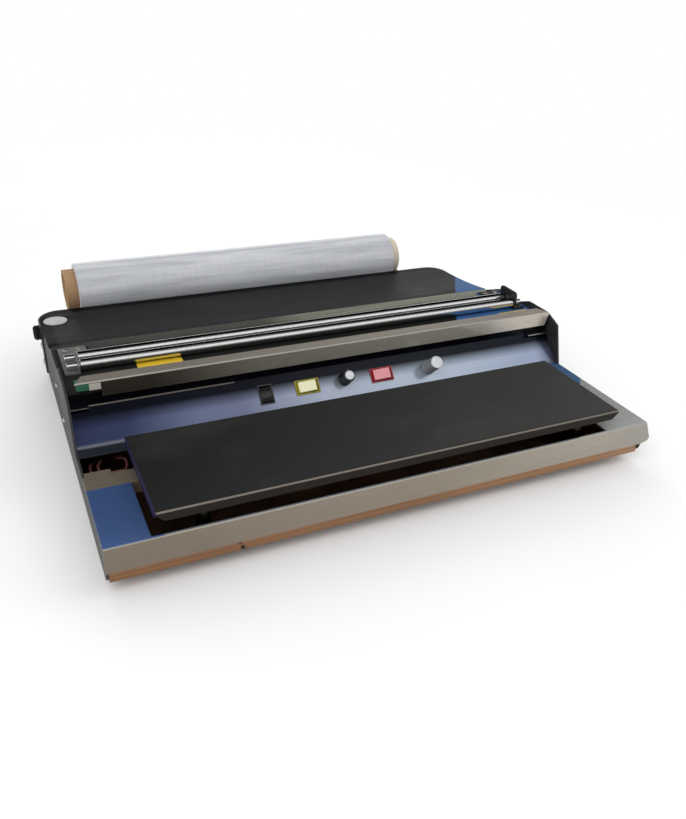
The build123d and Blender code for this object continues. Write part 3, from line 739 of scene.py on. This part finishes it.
SIDE_STEEL = SheetSteel(
    "side_steel", ((0.0, 78, 78, 79), (0.5, 72, 72, 74), (0.75, 48, 50, 54), (1.0, 34, 35, 38)),
    axis=Axis.Y, low=-0.22, high=0.16, grain=Axis.Y, metallic=0.4, gloss=0.0)
RAIL_STEEL = SheetSteel("rail_steel", ((0.0, 150, 140, 122), (1.0, 170, 162, 148)), metallic=0.6)
# The panel's colour across its width is painted reflection: dark navy at the left end, pale
# lavender in the middle and dark again at the right end.
PANEL_BLUE = SheetSteel(
    "panel_blue", ((0.0, 46, 52, 82), (0.1, 54, 62, 92), (0.22, 104, 112, 142),
    (0.3, 112, 118, 146), (0.46, 170, 178, 196), (0.7, 184, 197, 212), (0.95, 158, 170, 196),
    (1.0, 56, 50, 80)), roughness=0.2, marks=0.06, soil=0.15, metallic=0.6, gloss=0.08,
    zones=(Zone(((FRONT, 0.0885),), tone(62, 66, 76), 0.002),
    Zone(((BELOW, -0.0468), (BACK, -0.0895)), tone(104, 108, 118), 0.0015),
    # Painted shade: the upper part of the panel darkens softly to near black under the cutter bar.
    Zone(((ABOVE, 0.0605),), tone(6, 7, 14), 0.009, 0.97),
    # Painted highlight: a thin light line along the top bend, left of the middle.
    Zone(((ABOVE, 0.0705), (BELOW, -0.0716), (LEFT, 0.10)), tone(122, 114, 106), 0.0006, 0.7),
    # Painted shade: the riser above the bend is dark.
    Zone(((ABOVE, 0.0716),), tone(18, 17, 24))))
BED_BLACK = SatinCoat(
    "bed_black", ((0.0, 35, 36, 34), (1.0, 35, 36, 34)), sheen=0.05, roughness=0.5,
    # Painted reflection: the blue past the reflection edge stands in for a blue surrounding
    # mirrored in the bed.
    zones=(Zone((REFLECTION_EDGE,), tone(60, 96, 146)),))
DECK_BLACK = SatinCoat(
    "deck_black", ((0.0, 38, 39, 40), (0.6, 43, 44, 45), (1.0, 42, 43, 44)), sheen=0.05,
    # Painted reflection: the blue past the reflection edge stands in for a blue surrounding
    # mirrored in the deck.
    roughness=0.5, zones=(Zone((REFLECTION_EDGE,), tone(60, 96, 140)),
    # Painted shade: the deck darkens at its left end beside the side plate and along its back edge.
    Zone(((LEFT, 0.2325),), tone(14, 14, 15), 0.006),
    Zone(((BACK, 0.152),), tone(12, 12, 13), 0.006)))
PLATE_BLACK = SatinCoat(
    "plate_black", ((0.0, 24, 26, 26), (0.5, 42, 43, 42), (1.0, 56, 57, 56)), sheen=0.1,
    # Painted shade darkens the plate's front flange, a painted highlight runs along its top front
    # edge, and a painted reflection tints its left end blue-violet.
    roughness=0.45, zones=(Zone(((FRONT, 0.2168),), tone(34, 29, 26), 0.001),
    Zone(((FRONT, 0.2180), (ABOVE, 0.0629)), tone(118, 113, 104), 0.0005),
    Zone(((LEFT, 0.2045),), tone(38, 34, 62), 0.001)))
STRIP_STEEL = SheetSteel(
    "strip_steel", ((0.0, 28, 30, 28), (0.1, 76, 76, 68), (0.43, 88, 88, 79), (0.52, 158, 158, 140),
    (1.0, 172, 172, 154)), marks=0.5, roughness=0.25, metallic=0.5)
# The bar darkens towards its left end: painted shade.
BAR_STEEL = SheetSteel(
    "bar_steel", ((0.0, 50, 45, 40), (0.15, 66, 60, 52), (0.35, 136, 132, 122),
    (1.0, 150, 146, 136)), metallic=0.5, marks=0.06,
    # Painted reflection: right of a slanting line the bar is lighter.
    zones=(Zone((((0.385, 0.0, 0.922), 0.1356),), tone(190, 182, 170)),
    Zone(((BACK, -0.0658),), tone(150, 143, 132)),
    # Painted reflection: the flange grows lighter towards the right.
    Zone(((BACK, -0.0658), (RIGHT, -0.02)), tone(206, 199, 187), 0.25),
    # Painted highlight: a thin light line along the top front edge.
    Zone(((ABOVE, 0.0929), (FRONT, 0.0660)), tone(206, 200, 190), 0.0004)))
BACK_STEEL = SheetSteel("back_steel", ((0.0, 92, 94, 98), (1.0, 100, 102, 106)))
SMALL_STEEL = SheetSteel("small_steel", ((0.0, 160, 160, 158), (1.0, 176, 176, 174)))
EAR_STEEL = SheetSteel(
    "ear_steel", ((0.0, 150, 150, 148), (0.3, 120, 121, 122), (1.0, 48, 50, 54)), metallic=0.6)
POST_STEEL = SheetSteel("post_steel", ((0.0, 44, 40, 36), (1.0, 54, 50, 46)))
CHROME = Bright("chrome", tone(226, 227, 226), roughness=0.15)
CRADLE_ZINC = Bright("cradle_zinc", tone(150, 152, 156), roughness=0.28)
KNOB_CAP = Bright("spun_cap", tone(226, 228, 232), roughness=0.3)
SCREW_ZINC = Bright("screw_zinc", tone(212, 212, 208), roughness=0.42)
BLACK_GLOSS = Moulded("black_gloss", tone(20, 20, 22), roughness=0.22)
BLACK_RUBBER = Moulded("black_rubber", tone(26, 26, 27), roughness=0.7, grain=0.0003, gloss=0.3)
YELLOW_TAPE = Moulded("yellow_tape", tone(226, 190, 50), roughness=0.4)
YELLOW_CASE = Moulded("yellow_case", tone(140, 130, 22), roughness=0.3)
RED_CASE = Moulded("red_case", tone(134, 18, 30), roughness=0.3)
GREY_GRIP = Moulded("grey_grip", tone(146, 147, 150), roughness=0.25)
PALE_PLUG = Moulded("pale_plug", tone(178, 178, 180), roughness=0.45)
RED_WIRE = Moulded("red_wire", tone(74, 38, 34), roughness=0.45)
GREEN_TERMINAL = Moulded("green_terminal", tone(38, 92, 66), roughness=0.35)
WHITE_CERAMIC = Moulded("white_ceramic", tone(172, 165, 156), roughness=0.6, grain=0.0004)
HEATER_CERAMIC = Moulded("heater_ceramic", tone(190, 180, 164), roughness=0.6)
HEATER_RUBBER = Moulded("heater_rubber", tone(150, 60, 44), roughness=0.6, grain=0.0008)
INSULATION_WOOL = Moulded(
    "insulation_wool", tone(214, 208, 190), roughness=0.95, grain=0.0005, depth=0.0003)
SENSOR_COPPER = Bright("sensor_copper", tone(184, 120, 84), roughness=0.3)
THERMOSTAT_CASE = Moulded("thermostat_case", tone(196, 190, 172), roughness=0.5)
CORE_LAMINATION = Bright(
    "core_lamination", tone(92, 92, 96), roughness=0.4, rings=Axis.Y, scratch=0.6)
COPPER_WIRE = Bright("copper_wire", tone(176, 104, 58), roughness=0.3, rings=Axis.Z, scratch=0.7)
TERMINAL_CASE = Moulded("terminal_case", tone(120, 84, 72), roughness=0.5)
WOUND_FILM = WoundFilm()
CORE_PAPER = Cardboard()


def angle_of(place: Vector) -> float:
    """Angle of a place about Z, from 0 to 360 degrees."""
    return degrees(atan2(place.y, place.x)) % 360


def turned(name: str, rings: Sequence[Ring], sides: int, closed: bool = True) -> Piece:
    """A turned piece about Z, extruded ring by ring.

    Args:
        name: name of the piece.
        rings: radius and height of each ring, in millimetres.
        sides: number of its sides.
        closed: the last ring is the first; otherwise both ends are filled.

    Returns:
        The piece, still standing at the origin.
    """
    deselect()
    radius, height = (size * MM for size in rings[0])
    bpy.ops.mesh.primitive_circle_add(vertices=sides, radius=radius, location=(0, 0, height))
    piece = bpy.context.object
    piece.name = name
    apply_place()
    bpy.ops.object.mode_set(mode="EDIT")
    bpy.ops.mesh.select_mode(type="VERT")
    bpy.ops.mesh.select_all(action="SELECT")
    for next_radius, next_height in rings[1:]:
        bpy.ops.mesh.extrude_edges_move(
            TRANSFORM_OT_translate={"value": (0, 0, next_height * MM - height)})
        height = next_height * MM
        factor = next_radius * MM / radius
        bpy.ops.transform.resize(value=(factor, factor, 1), center_override=(0, 0, height))
        radius = next_radius * MM
    if closed:
        bpy.ops.mesh.select_all(action="SELECT")
        bpy.ops.mesh.remove_doubles(threshold=SEAM_GAP)
    else:
        bpy.ops.mesh.edge_face_add()
        bpy.ops.mesh.select_all(action="DESELECT")
        bpy.ops.mesh.select_non_manifold(extend=False)
        bpy.ops.mesh.edge_face_add()
    bpy.ops.mesh.select_all(action="SELECT")
    bpy.ops.mesh.normals_make_consistent(inside=False)
    to_object_mode()
    return piece


def cross_screw(name: str, radius: float, place: Matrix) -> Piece:
    """A domed screw head with a cross recess.

    Args:
        name: name of the piece.
        radius: radius of the head, in metres.
        place: where it sits, with its Z outwards.

    Returns:
        The head in its place.
    """
    wide = radius / MM
    rings = [(wide * 0.5, -1.0), (wide * 0.5, 0.0), (wide, 0.0), (wide, 0.35), (wide * 0.93, 0.9),
             (wide * 0.72, 1.4), (wide * 0.4, 1.65), (wide * 0.12, 1.7)]
    head = turned(name, rings, 28, closed=False)
    arm, half = radius * 0.55, radius * 0.13
    for low, high in (((-arm, -half), (arm, half)), ((-half, -arm), (half, arm))):
        tool = block("tool", (*low, 0.0008), (*high, 0.003))
        focus(head)
        cut = head.modifiers.new("recess", "BOOLEAN")
        cut.operation = "DIFFERENCE"
        cut.object = tool
        bpy.ops.object.modifier_apply(modifier=cut.name)
        bpy.data.objects.remove(tool)
    focus(head)
    head.matrix_world = place
    apply_place()
    return head


def wire(name: str, points: Sequence[Place], radius: float) -> Piece:
    """A round wire through points.

    Args:
        name: name of the piece.
        points: what it passes through.
        radius: its radius.

    Returns:
        The wire as a mesh.
    """
    deselect()
    bpy.ops.curve.primitive_bezier_curve_add()
    made = bpy.context.object
    made.name = name
    spline = made.data.splines[0]
    spline.bezier_points.add(len(points) - 2)
    for knot, point in zip(spline.bezier_points, points):
        knot.co = point
        knot.handle_left_type = knot.handle_right_type = "AUTO"
    made.data.bevel_depth = radius
    made.data.bevel_resolution = 3
    made.data.use_fill_caps = True
    bpy.ops.object.convert(target="MESH")
    return bpy.context.object


@dataclass
class SubAssembly:
    """Pieces of the machine that belong together.

    Attributes:
        frame: the machine's frame.
    """

    frame: Frame


@dataclass
class Housing(SubAssembly):
    """Folded sheet body of the machine.

    Attributes:
        edge: width of the sheets' softened edges.
        cover_head: radius of the screw heads in the cover and the cradle.
        ear_head: radius of those in the roller ears.
        side_head: radius of those in the left side.
        wire: radius of the wires.
    """

    edge: float = 0.25 * MM
    cover_head: float = 3.3 * MM
    ear_head: float = 2.6 * MM
    side_head: float = 2.2 * MM
    wire: float = 1.1 * MM

    def build(self) -> None:
        """Dresses the body's sheets and models its small pieces."""
        self.frame.dress(
            self.edge, base_pan=PAN_STEEL, pan_rim=PAN_STEEL, left_side_plate=SIDE_STEEL,
            right_side_plate=SIDE_STEEL, crease_tabs=SMALL_STEEL, front_platform=PLATFORM_STEEL,
            platform_cross_rail=RAIL_STEEL, control_panel=PANEL_BLUE, roller_bed=BED_BLACK,
            deck=DECK_BLACK, deck_edge_strip=STRIP_STEEL, rear_cover=BACK_STEEL,
            left_cover_corner=BACK_STEEL, right_cover_corner=BACK_STEEL,
            left_cradle_bracket=BACK_STEEL, right_cradle_bracket=BACK_STEEL)
        self.frame.dress(0.0, deck_plug=PALE_PLUG, rubber_feet=BLACK_RUBBER, foot_screws=SCREW_ZINC)
        self.screws()
        self.gland()
        self.tapes()
        self.small_marks()

    def screws(self) -> None:
        """Models the cross-recess screws of the covers, cradle, ears and left side."""
        backs = [((x, 0.1665, z), BACK) for x in (-0.2116, 0.2116) for z in (0.03875, 0.04875)]
        sides = [((x, 0.132, z), way) for x, way in ((-0.244, LEFT), (0.244, RIGHT))
                 for z in (0.024, 0.042)]
        ears = [((x, 0.0165, 0.08583), ABOVE) for x in (-0.2185, -0.2305, 0.2165, 0.2285)]
        plate = [((-0.2425, y, z), LEFT) for y, z in ((0.008, 0.0573), (-0.0224, 0.0377))]
        for name, places, radius, node in (
                ("cradle_screw_heads", backs, self.cover_head, "cradle_screws"),
                ("cover_screw_heads", sides, self.cover_head, "cover_screws"),
                ("ear_screw_heads", ears, self.ear_head, "ear_screws"),
                ("side_screw_heads", plate, self.side_head, "")):
            heads = [cross_screw(f"{name}_{i}", radius, upright_on(*place))
                     for i, place in enumerate(places)]
            piece = joined(heads, name)
            replaced = (node,) if node else ()
            self.frame.add(piece, "machine_body", SCREW_ZINC, node or "left_side_plate", *replaced)

    def gland(self) -> None:
        """Models the cable inlet: a ribbed cap, its neck and the nut inside."""
        rings = [(4.0, 0.0), (5.4, 0.0), (6.2, 0.5), (7.3, 1.7), (7.5, 2.2), (7.5, 3.0),
                 (7.0, 3.3), (7.5, 3.6), (7.5, 4.4), (7.0, 4.7), (7.5, 5.0), (7.5, 6.4),
                 (6.0, 6.5), (6.0, 10.0), (7.4, 10.0), (7.5, 10.4), (7.5, 12.6), (7.1, 13.0),
                 (4.0, 13.0), (4.0, 0.0)]
        piece = turned("ribbed_gland", rings, 48)
        pick_faces(piece, lambda face: 0.002 < face.calc_center_median().z < 0.0031
                   and angle_of(face.calc_center_median()) % 30 < 15)
        bpy.ops.mesh.inset(thickness=0.0001, depth=0.0003)
        to_object_mode()
        self.frame.add(piece, "machine_body", BLACK_RUBBER, "cable_gland", "cable_gland",
                       place=upright_on((-0.2505, 0.134, 0.056), RIGHT, BACK))

    def tapes(self) -> None:
        """Lays the two yellow tapes on the roller bed."""
        strips = []
        for name, low, high, turn in (("left_tape", (-0.177, -0.036), (-0.137, -0.025), 2.0),
                                      ("right_tape", (0.200, -0.044), (0.236, -0.034), -1.0)):
            strip = block(name, (*low, 0.08384), (*high, 0.08410))
            focus(strip)
            bpy.ops.object.mode_set(mode="EDIT")
            bpy.ops.mesh.select_all(action="SELECT")
            middle = ((low[0] + high[0]) / 2, (low[1] + high[1]) / 2, 0.084)
            bpy.ops.transform.rotate(value=radians(turn), orient_axis="Z", center_override=middle)
            bpy.ops.mesh.subdivide(number_cuts=6)
            to_object_mode()
            soften(strip, 0.00008, 2)
            strips.append(strip)
        self.frame.add(joined(strips, "bed_tapes"), "machine_body", YELLOW_TAPE,
                       "plate_switch_rocker")

    def small_marks(self) -> None:
        """Models the plug in the skirt and the wires in the left recess."""
        dot = turned("skirt_plug", [(0.6, -0.2), (1.1, -0.2), (1.7, 0.0), (1.7, 0.25), (1.3, 0.4),
                                    (0.5, 0.4)], 32, closed=False)
        self.frame.add(dot, "machine_body", BLACK_RUBBER, "rubber_feet",
                       place=upright_on((-0.1438, -0.22, 0.017), FRONT))
        bends = (((-0.222, -0.128, 0.033), (-0.228, -0.116, 0.040), (-0.224, -0.096, 0.036)),
                 ((-0.213, -0.128, 0.033), (-0.206, -0.114, 0.041), (-0.212, -0.092, 0.034)),
                 ((-0.231, -0.128, 0.033), (-0.234, -0.110, 0.038), (-0.230, -0.090, 0.031)))
        wires = [wire(f"wire_{i}", points, self.wire) for i, points in enumerate(bends)]
        self.frame.add(joined(wires, "recess_wires"), "machine_body", RED_WIRE,
                       "terminal_block", smooth=60.0)


@dataclass
class HotPlate(SubAssembly):
    """Heated plate, its posts and what heats it."""

    def build(self) -> None:
        """Dresses the plate and its inner parts."""
        self.frame.dress(0.5 * MM, hot_plate=PLATE_BLACK)
        self.frame.dress(0.0, hot_plate_posts=POST_STEEL, plate_heater=HEATER_RUBBER,
                         plate_insulation=INSULATION_WOOL, temperature_sensor=SENSOR_COPPER)


@dataclass
class Controls(SubAssembly):
    """Switches and knobs on the leaning panel.

    Attributes:
        lean: angle of the panel from level, in degrees.
        tip: angle that the rockers rest at, in degrees.
    """

    lean: float = 48.0
    tip: float = 7.0

    def build(self) -> None:
        """Dresses the switches' fixed parts, and models the lit rockers and the knobs."""
        self.frame.dress(0.35 * MM, main_switch_rocker=BLACK_GLOSS)
        self.frame.dress(0.15 * MM, main_switch_housing=BLACK_GLOSS,
                         plate_switch_housing=YELLOW_CASE, cutter_switch_housing=RED_CASE)
        self.frame.dress(0.0, plate_thermostat=THERMOSTAT_CASE, cutter_regulator=BLACK_GLOSS)
        # The second colour of each lens is a painted highlight on its top.
        self.lens("plate", tone(196, 180, 24), tone(238, 236, 196))
        self.lens("cutter", tone(190, 22, 40), tone(226, 150, 156))
        self.knob("plate", 6.5, 6.0, 13.0, 4.5, 1.2, BLACK_GLOSS)
        self.knob("cutter", 6.8, 6.3, 17.8, 6.2, 1.4, GREY_GRIP)

    def lens(self, kind: str, side: Colour, top: Colour) -> None:
        """Models a lit rocker: a tipped cushion with a dished top, painted paler as a highlight.

        Args:
            kind: which switch it rocks in.
            side: colour of its sides.
            top: colour of its top, a painted highlight.
        """
        out = Vector((0.0, -sin(radians(self.lean)), cos(radians(self.lean))))
        pivot = self.frame.pivot(f"{kind}_rocker_tilt")
        tip = radians(self.tip)
        across = Vector((cos(tip), 0.0, 0.0)) + out * sin(tip)
        normal = out * cos(tip) - Vector((sin(tip), 0.0, 0.0))
        piece = block(f"{kind}_lens", (-0.0094, -0.0052, -0.0031), (0.0094, 0.0052, 0.0030))
        pick_faces(piece, lambda face: face.normal.z > 0.9)
        bpy.ops.mesh.extrude_region_move(TRANSFORM_OT_translate={"value": (0, 0, 0.0028)})
        bpy.ops.transform.resize(value=(0.85, 0.94, 1.0), center_override=(0, 0, 0.0058))
        bpy.ops.mesh.inset(thickness=0.0007, depth=0.0)
        bpy.ops.mesh.inset(thickness=0.0014, depth=-0.0003)
        to_object_mode()
        soften(piece, 0.00035, 3, 50.0)
        cover = normal.normalized()
        # Painted highlight: the cushion's top, past a plane near its crown, is paler than its
        # sides.
        pale = Zone(((tuple(cover), cover.dot(pivot) + 0.0052),), top, 0.0005)
        finish = Moulded(f"{kind}_lens", side, roughness=0.18, gloss=0.6, glow=0.1, zones=(pale,))
        node = f"{kind}_switch_rocker"
        self.frame.add(piece, f"{kind}_rocker", finish, node, node,
                       place=upright_on(pivot, normal, across), smooth=40.0)

    def knob(self, kind: str, base: float, end: float, length: float, cap: float, lid: float,
             finish: Moulded) -> None:
        """Models a fluted knob, its spun cap and its pointer.

        Args:
            kind: which dial it turns.
            base: radius at the panel, in millimetres.
            end: radius at the outer end.
            length: length of the grip.
            cap: radius of the cap.
            lid: thickness of the cap.
            finish: finish of the grip.
        """
        dial, joint = f"{kind}_dial", f"{kind}_dial_turn"
        place = upright_on(self.frame.pivot(joint), -self.frame.axis(joint))
        top = 0.8 + length
        grip = turned(f"{kind}_fluted_grip",
                      [(3.0, -7.2), (3.0, 0.8), (base - 0.2, 0.8), (base, 1.0), (base, 2.2),
                       (base - 0.35, 2.4), (base - 0.4, 2.8), (end + 0.02, top - 0.9),
                       (end - 0.12, top - 0.4), (end - 0.45, top - 0.1), (end - 0.8, top),
                       (cap * 0.5, top)], 72, closed=False)
        pick_faces(grip, lambda face: 0.003 < face.calc_center_median().z < (top - 1.2) * MM
                   and abs(face.normal.z) < 0.4 and angle_of(face.calc_center_median()) % 20 < 10)
        bpy.ops.mesh.inset(thickness=0.00012, depth=-0.00035)
        to_object_mode()
        self.frame.add(grip, dial, finish, f"{kind}_knob", f"{kind}_knob", place=place, smooth=30.0)
        spun = turned(f"{kind}_spun_cap",
                      [(cap * 0.5, top), (cap, top), (cap, top + lid - 0.4),
                       (cap - 0.12, top + lid - 0.12), (cap - 0.4, top + lid),
                       (cap - 0.7, top + lid), (cap - 0.9, top + lid - 0.18),
                       (0.4, top + lid - 0.3)], 72, closed=False)
        node = f"{kind}_knob_cap"
        self.frame.add(spun, dial, KNOB_CAP, node, node, place=place, smooth=30.0)
        line = block(f"{kind}_pointer", (-0.35 * MM, (end - 0.9) * MM, (top - 3.4) * MM),
                     (0.35 * MM, (end + 0.08) * MM, (top - 0.3) * MM))
        soften(line, 0.0001)
        self.frame.add(line, dial, WHITE_CERAMIC, node, place=place)


def long_roller(frame: Frame, joint: str, node: str, finish: Finish, start: float, end: float,
                radius: float, pin: float, reach: float) -> None:
    """Models a turned roller with its journals.

    Args:
        frame: the machine's frame.
        joint: joint that it spins on.
        node: node and body that it stands for.
        finish: its finish.
        start: left end of its barrel, in millimetres.
        end: right end of its barrel.
        radius: radius of the barrel.
        pin: radius of the journals.
        reach: length of the journals.
    """
    half = [(pin - 0.3, -reach), (pin, 0.3 - reach), (pin, -0.1), (pin + 0.1, 0.0),
            (radius - 0.4, 0.0), (radius, 0.4), (radius, 40.0)]
    rings = [(size, start + at) for size, at in half]
    rings += [(size, end - at) for size, at in reversed(half)]
    piece = turned(f"turned_{node}", rings, 96, closed=False)
    frame.add(piece, node, finish, node, node, place=frame.across(joint), smooth=30.0)


@dataclass
class Cutter(SubAssembly):
    """Hot cutter bar and the rollers behind it.

    Attributes:
        barrel: the rollers' start, end, radius, and their journals' radius and length.
    """

    barrel: tuple[float, ...] = (-223.5, 221.5, 5.0, 3.0, 11.0)

    def build(self) -> None:
        """Dresses the bar, its heater and the ears, and models the rollers."""
        self.frame.dress(0.25 * MM, cutter_bar=BAR_STEEL, left_roller_ear=EAR_STEEL,
                         right_roller_ear=EAR_STEEL)
        self.frame.dress(0.0, cutter_terminal=GREEN_TERMINAL, cutter_insulators=WHITE_CERAMIC,
                         cutter_heater=HEATER_CERAMIC)
        for node in ("front_roller", "rear_roller"):
            long_roller(self.frame, f"{node}_spin", node, CHROME, *self.barrel)


@dataclass
class FilmRoll(SubAssembly):
    """Roll of film and the rollers that carry it.

    Attributes:
        start: left end of the film, in millimetres.
        end: right end of the film.
        inner: inner radius of the film.
        outer: outer radius of the film.
        cradle: the cradle rollers' start, end, radius, and their journals' radius and length.
    """

    start: float = -198.0
    end: float = 180.0
    inner: float = 22.05
    outer: float = 28.0
    cradle: tuple[float, ...] = (-201.5, 201.5, 6.0, 2.5, 3.5)

    def build(self) -> None:
        """Models the film, its core and the cradle rollers."""
        place = self.frame.across("film_roll_spin")
        tube = [(19.0, -209.6), (19.3, -210.0), (20.4, -209.8), (21.6, -210.0), (22.0, -209.6),
                (22.0, -198.5), (22.0, 180.5), (22.0, 189.6), (21.7, 190.0), (20.5, 189.8),
                (19.3, 190.0), (19.0, 189.6), (19.0, -209.6)]
        for name, rings, sides, finish, node in (
                ("wound_layers", self.film_rings(), 128, WOUND_FILM, "film_wrap"),
                ("paper_tube", tube, 96, CORE_PAPER, "film_core")):
            self.frame.add(turned(name, rings, sides), "film_roll", finish, node, node,
                           place=place, smooth=40.0)
        for side in ("front", "rear"):
            long_roller(self.frame, f"{side}_cradle_spin", f"{side}_cradle_roller", CRADLE_ZINC,
                        *self.cradle)

    def film_rings(self) -> list[Ring]:
        """Rings of the wound film: stepped layers at both ends, and slightly wavy sides."""
        draw = Random(7)
        start, end, inner, outer = self.start, self.end, self.inner, self.outer
        layers = [inner + (outer - 0.35 - inner) * step / 9 for step in range(10)]
        left = [start + draw.uniform(0.0, 0.9) for _ in layers]
        right = [end - draw.uniform(0.0, 0.9) for _ in layers]
        rings: list[Ring] = []
        for radius, place in zip(layers, left):
            rings += [(radius, place), (radius + 0.3, place + 0.1)]
        rings.append((outer - 0.25, start + 0.3))
        for step in range(1, 40):
            rings.append((outer - draw.uniform(0.0, 0.16), start + (end - start) * step / 40))
        rings.append((outer - 0.25, end - 0.3))
        for radius, place in zip(reversed(layers), reversed(right)):
            rings += [(radius + 0.3, place - 0.1), (radius, place)]
        rings.append(rings[0])
        return rings


@dataclass
class InnerParts(SubAssembly):
    """Electrical parts inside the body."""

    def build(self) -> None:
        """Dresses the transformer and the terminal block."""
        self.frame.dress(0.0, transformer_core=CORE_LAMINATION, transformer_winding=COPPER_WIRE,
                         terminal_block=TERMINAL_CASE)


@dataclass
class Studio:
    """Camera, lights, floor and sky of a plain studio.

    Attributes:
        lens: focal length of the camera, in millimetres.
        stand: place of the camera.
        right: direction to the right of its picture.
        up: direction to the top of its picture.
        sky: strength of the even light.
    """

    lens: float = 34.12
    stand: tuple[float, float, float] = (-0.27796, -0.65416, 0.39323)
    right: tuple[float, float, float] = (0.9088, -0.4149, 0.0426)
    up: tuple[float, float, float] = (0.1714, 0.4647, 0.8687)
    sky: float = 0.72

    def build(self) -> None:
        """Sets the whole studio up."""
        self.camera()
        self.world()
        self.floor()
        self.card("roller_card", (0.3, 0.195, 0.22), (1.6, 0.45), 0.0, 0.004)
        self.card("ceiling_card", (0.0, -0.175, 0.9), (4.0, 0.55), 0.0, 0.22)
        self.card("front_card", (0.0, -1.6, 0.38), (6.0, 0.58), 90.0, 0.42)
        self.lamp("key", (-0.9, -1.0, 1.5), 1.2, 11.0)
        self.lamp("fill", (1.4, -0.4, 1.2), 1.6, 7.0)
        self.lamp("back", (0.2, 1.5, 1.3), 1.4, 7.0)
        bpy.context.scene.view_settings.view_transform = "Standard"

    def camera(self) -> None:
        """Stands the camera where the photograph was taken from."""
        right = Vector(self.right).normalized()
        up = (Vector(self.up) - right * right.dot(Vector(self.up))).normalized()
        seen = Matrix((right, up, right.cross(up))).transposed().to_4x4()
        seen.translation = Vector(self.stand)
        bpy.ops.object.camera_add()
        camera = bpy.context.object
        camera.matrix_world = seen
        camera.data.lens = self.lens
        camera.data.sensor_width = 36.0
        camera.data.clip_start = 0.01
        camera.data.clip_end = 200.0
        bpy.context.scene.camera = camera

    def world(self) -> None:
        """White to the camera and in reflections, and an even light elsewhere."""
        world = bpy.data.worlds.new("studio")
        bpy.context.scene.world = world
        sky = Recipe(world)
        strength = sky.between(sky.seen(), 0.0, 1.0, self.sky, 1.0)
        sky.fill(sky.nodes["Background"], {"Color": (1.0, 1.0, 1.0), "Strength": strength})

    def floor(self) -> None:
        """Lays a wide pale floor that keeps the machine's shadow."""
        deselect()
        bpy.ops.mesh.primitive_plane_add(size=80.0)
        floor = bpy.context.object
        floor.name = "studio_floor"
        material = bpy.data.materials.new("studio_floor")
        pale = Recipe(material)
        cloud = pale.between(pale.noise(pale.place, 3.0, 2.0), 0.3, 0.7)
        plain = pale.surface(Base_Color=pale.mix(cloud, (0.93, 0.93, 0.93), (0.95, 0.95, 0.95)),
                             Roughness=0.9, Specular_IOR_Level=0.0)
        reach = pale.nodes.new("ShaderNodeVectorMath")
        reach.operation = "LENGTH"
        far = pale.between(pale.fill(reach, {0: pale.place})["Value"], 0.6, 1.6, smooth=True)
        glow = pale.nodes.new("ShaderNodeEmission").outputs[0]
        both = pale.fill(pale.nodes.new("ShaderNodeMixShader"),
                         {0: pale.sum(far, pale.seen(), "MULTIPLY"), 1: plain, 2: glow})
        pale.fill(pale.nodes["Material Output"], {"Surface": both[0]})
        floor.data.materials.append(material)
        floor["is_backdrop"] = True

    def card(self, name: str, middle: Place, size: Place, tilt: float, glow: float) -> None:
        """Hangs a grey card that only reflections see.

        Args:
            name: name of the card.
            middle: its middle.
            size: its width and its depth.
            tilt: angle that it is tipped up by, in degrees.
            glow: how bright it looks in a reflection.
        """
        deselect()
        bpy.ops.mesh.primitive_plane_add(size=1.0, location=middle, rotation=(radians(tilt), 0, 0))
        card = bpy.context.object
        card.name = name
        card.scale = (*size, 1.0)
        material = bpy.data.materials.new(name)
        Recipe(material).surface(Base_Color=(0.0, 0.0, 0.0), Roughness=0.9, Specular_IOR_Level=0.0,
                                 Emission_Color=(1.0, 1.0, 1.0), Emission_Strength=glow)
        card.data.materials.append(material)
        card.visible_camera = card.visible_diffuse = False
        card.visible_shadow = card.visible_transmission = False
        card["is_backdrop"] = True

    def lamp(self, name: str, place: Place, size: float, power: float) -> None:
        """Hangs a soft square lamp that looks at the machine.

        Args:
            name: name of the lamp.
            place: where it hangs.
            size: length of its sides.
            power: its power in watts.
        """
        deselect()
        bpy.ops.object.light_add(type="AREA", location=place)
        lamp = bpy.context.object
        lamp.name = name
        lamp.data.size = size
        lamp.data.energy = power
        lamp.rotation_euler = (-Vector(place)).to_track_quat("-Z", "Y").to_euler()
        lamp.visible_glossy = False


def main() -> None:
    """Builds the machine piece by piece, and the studio round it."""
    frame = Frame()
    for part in (Housing, HotPlate, Controls, Cutter, FilmRoll, InnerParts):
        part(frame).build()
        log.info("finished %s", part.__name__)
    Studio().build()


if __name__ == "__main__":
    main()
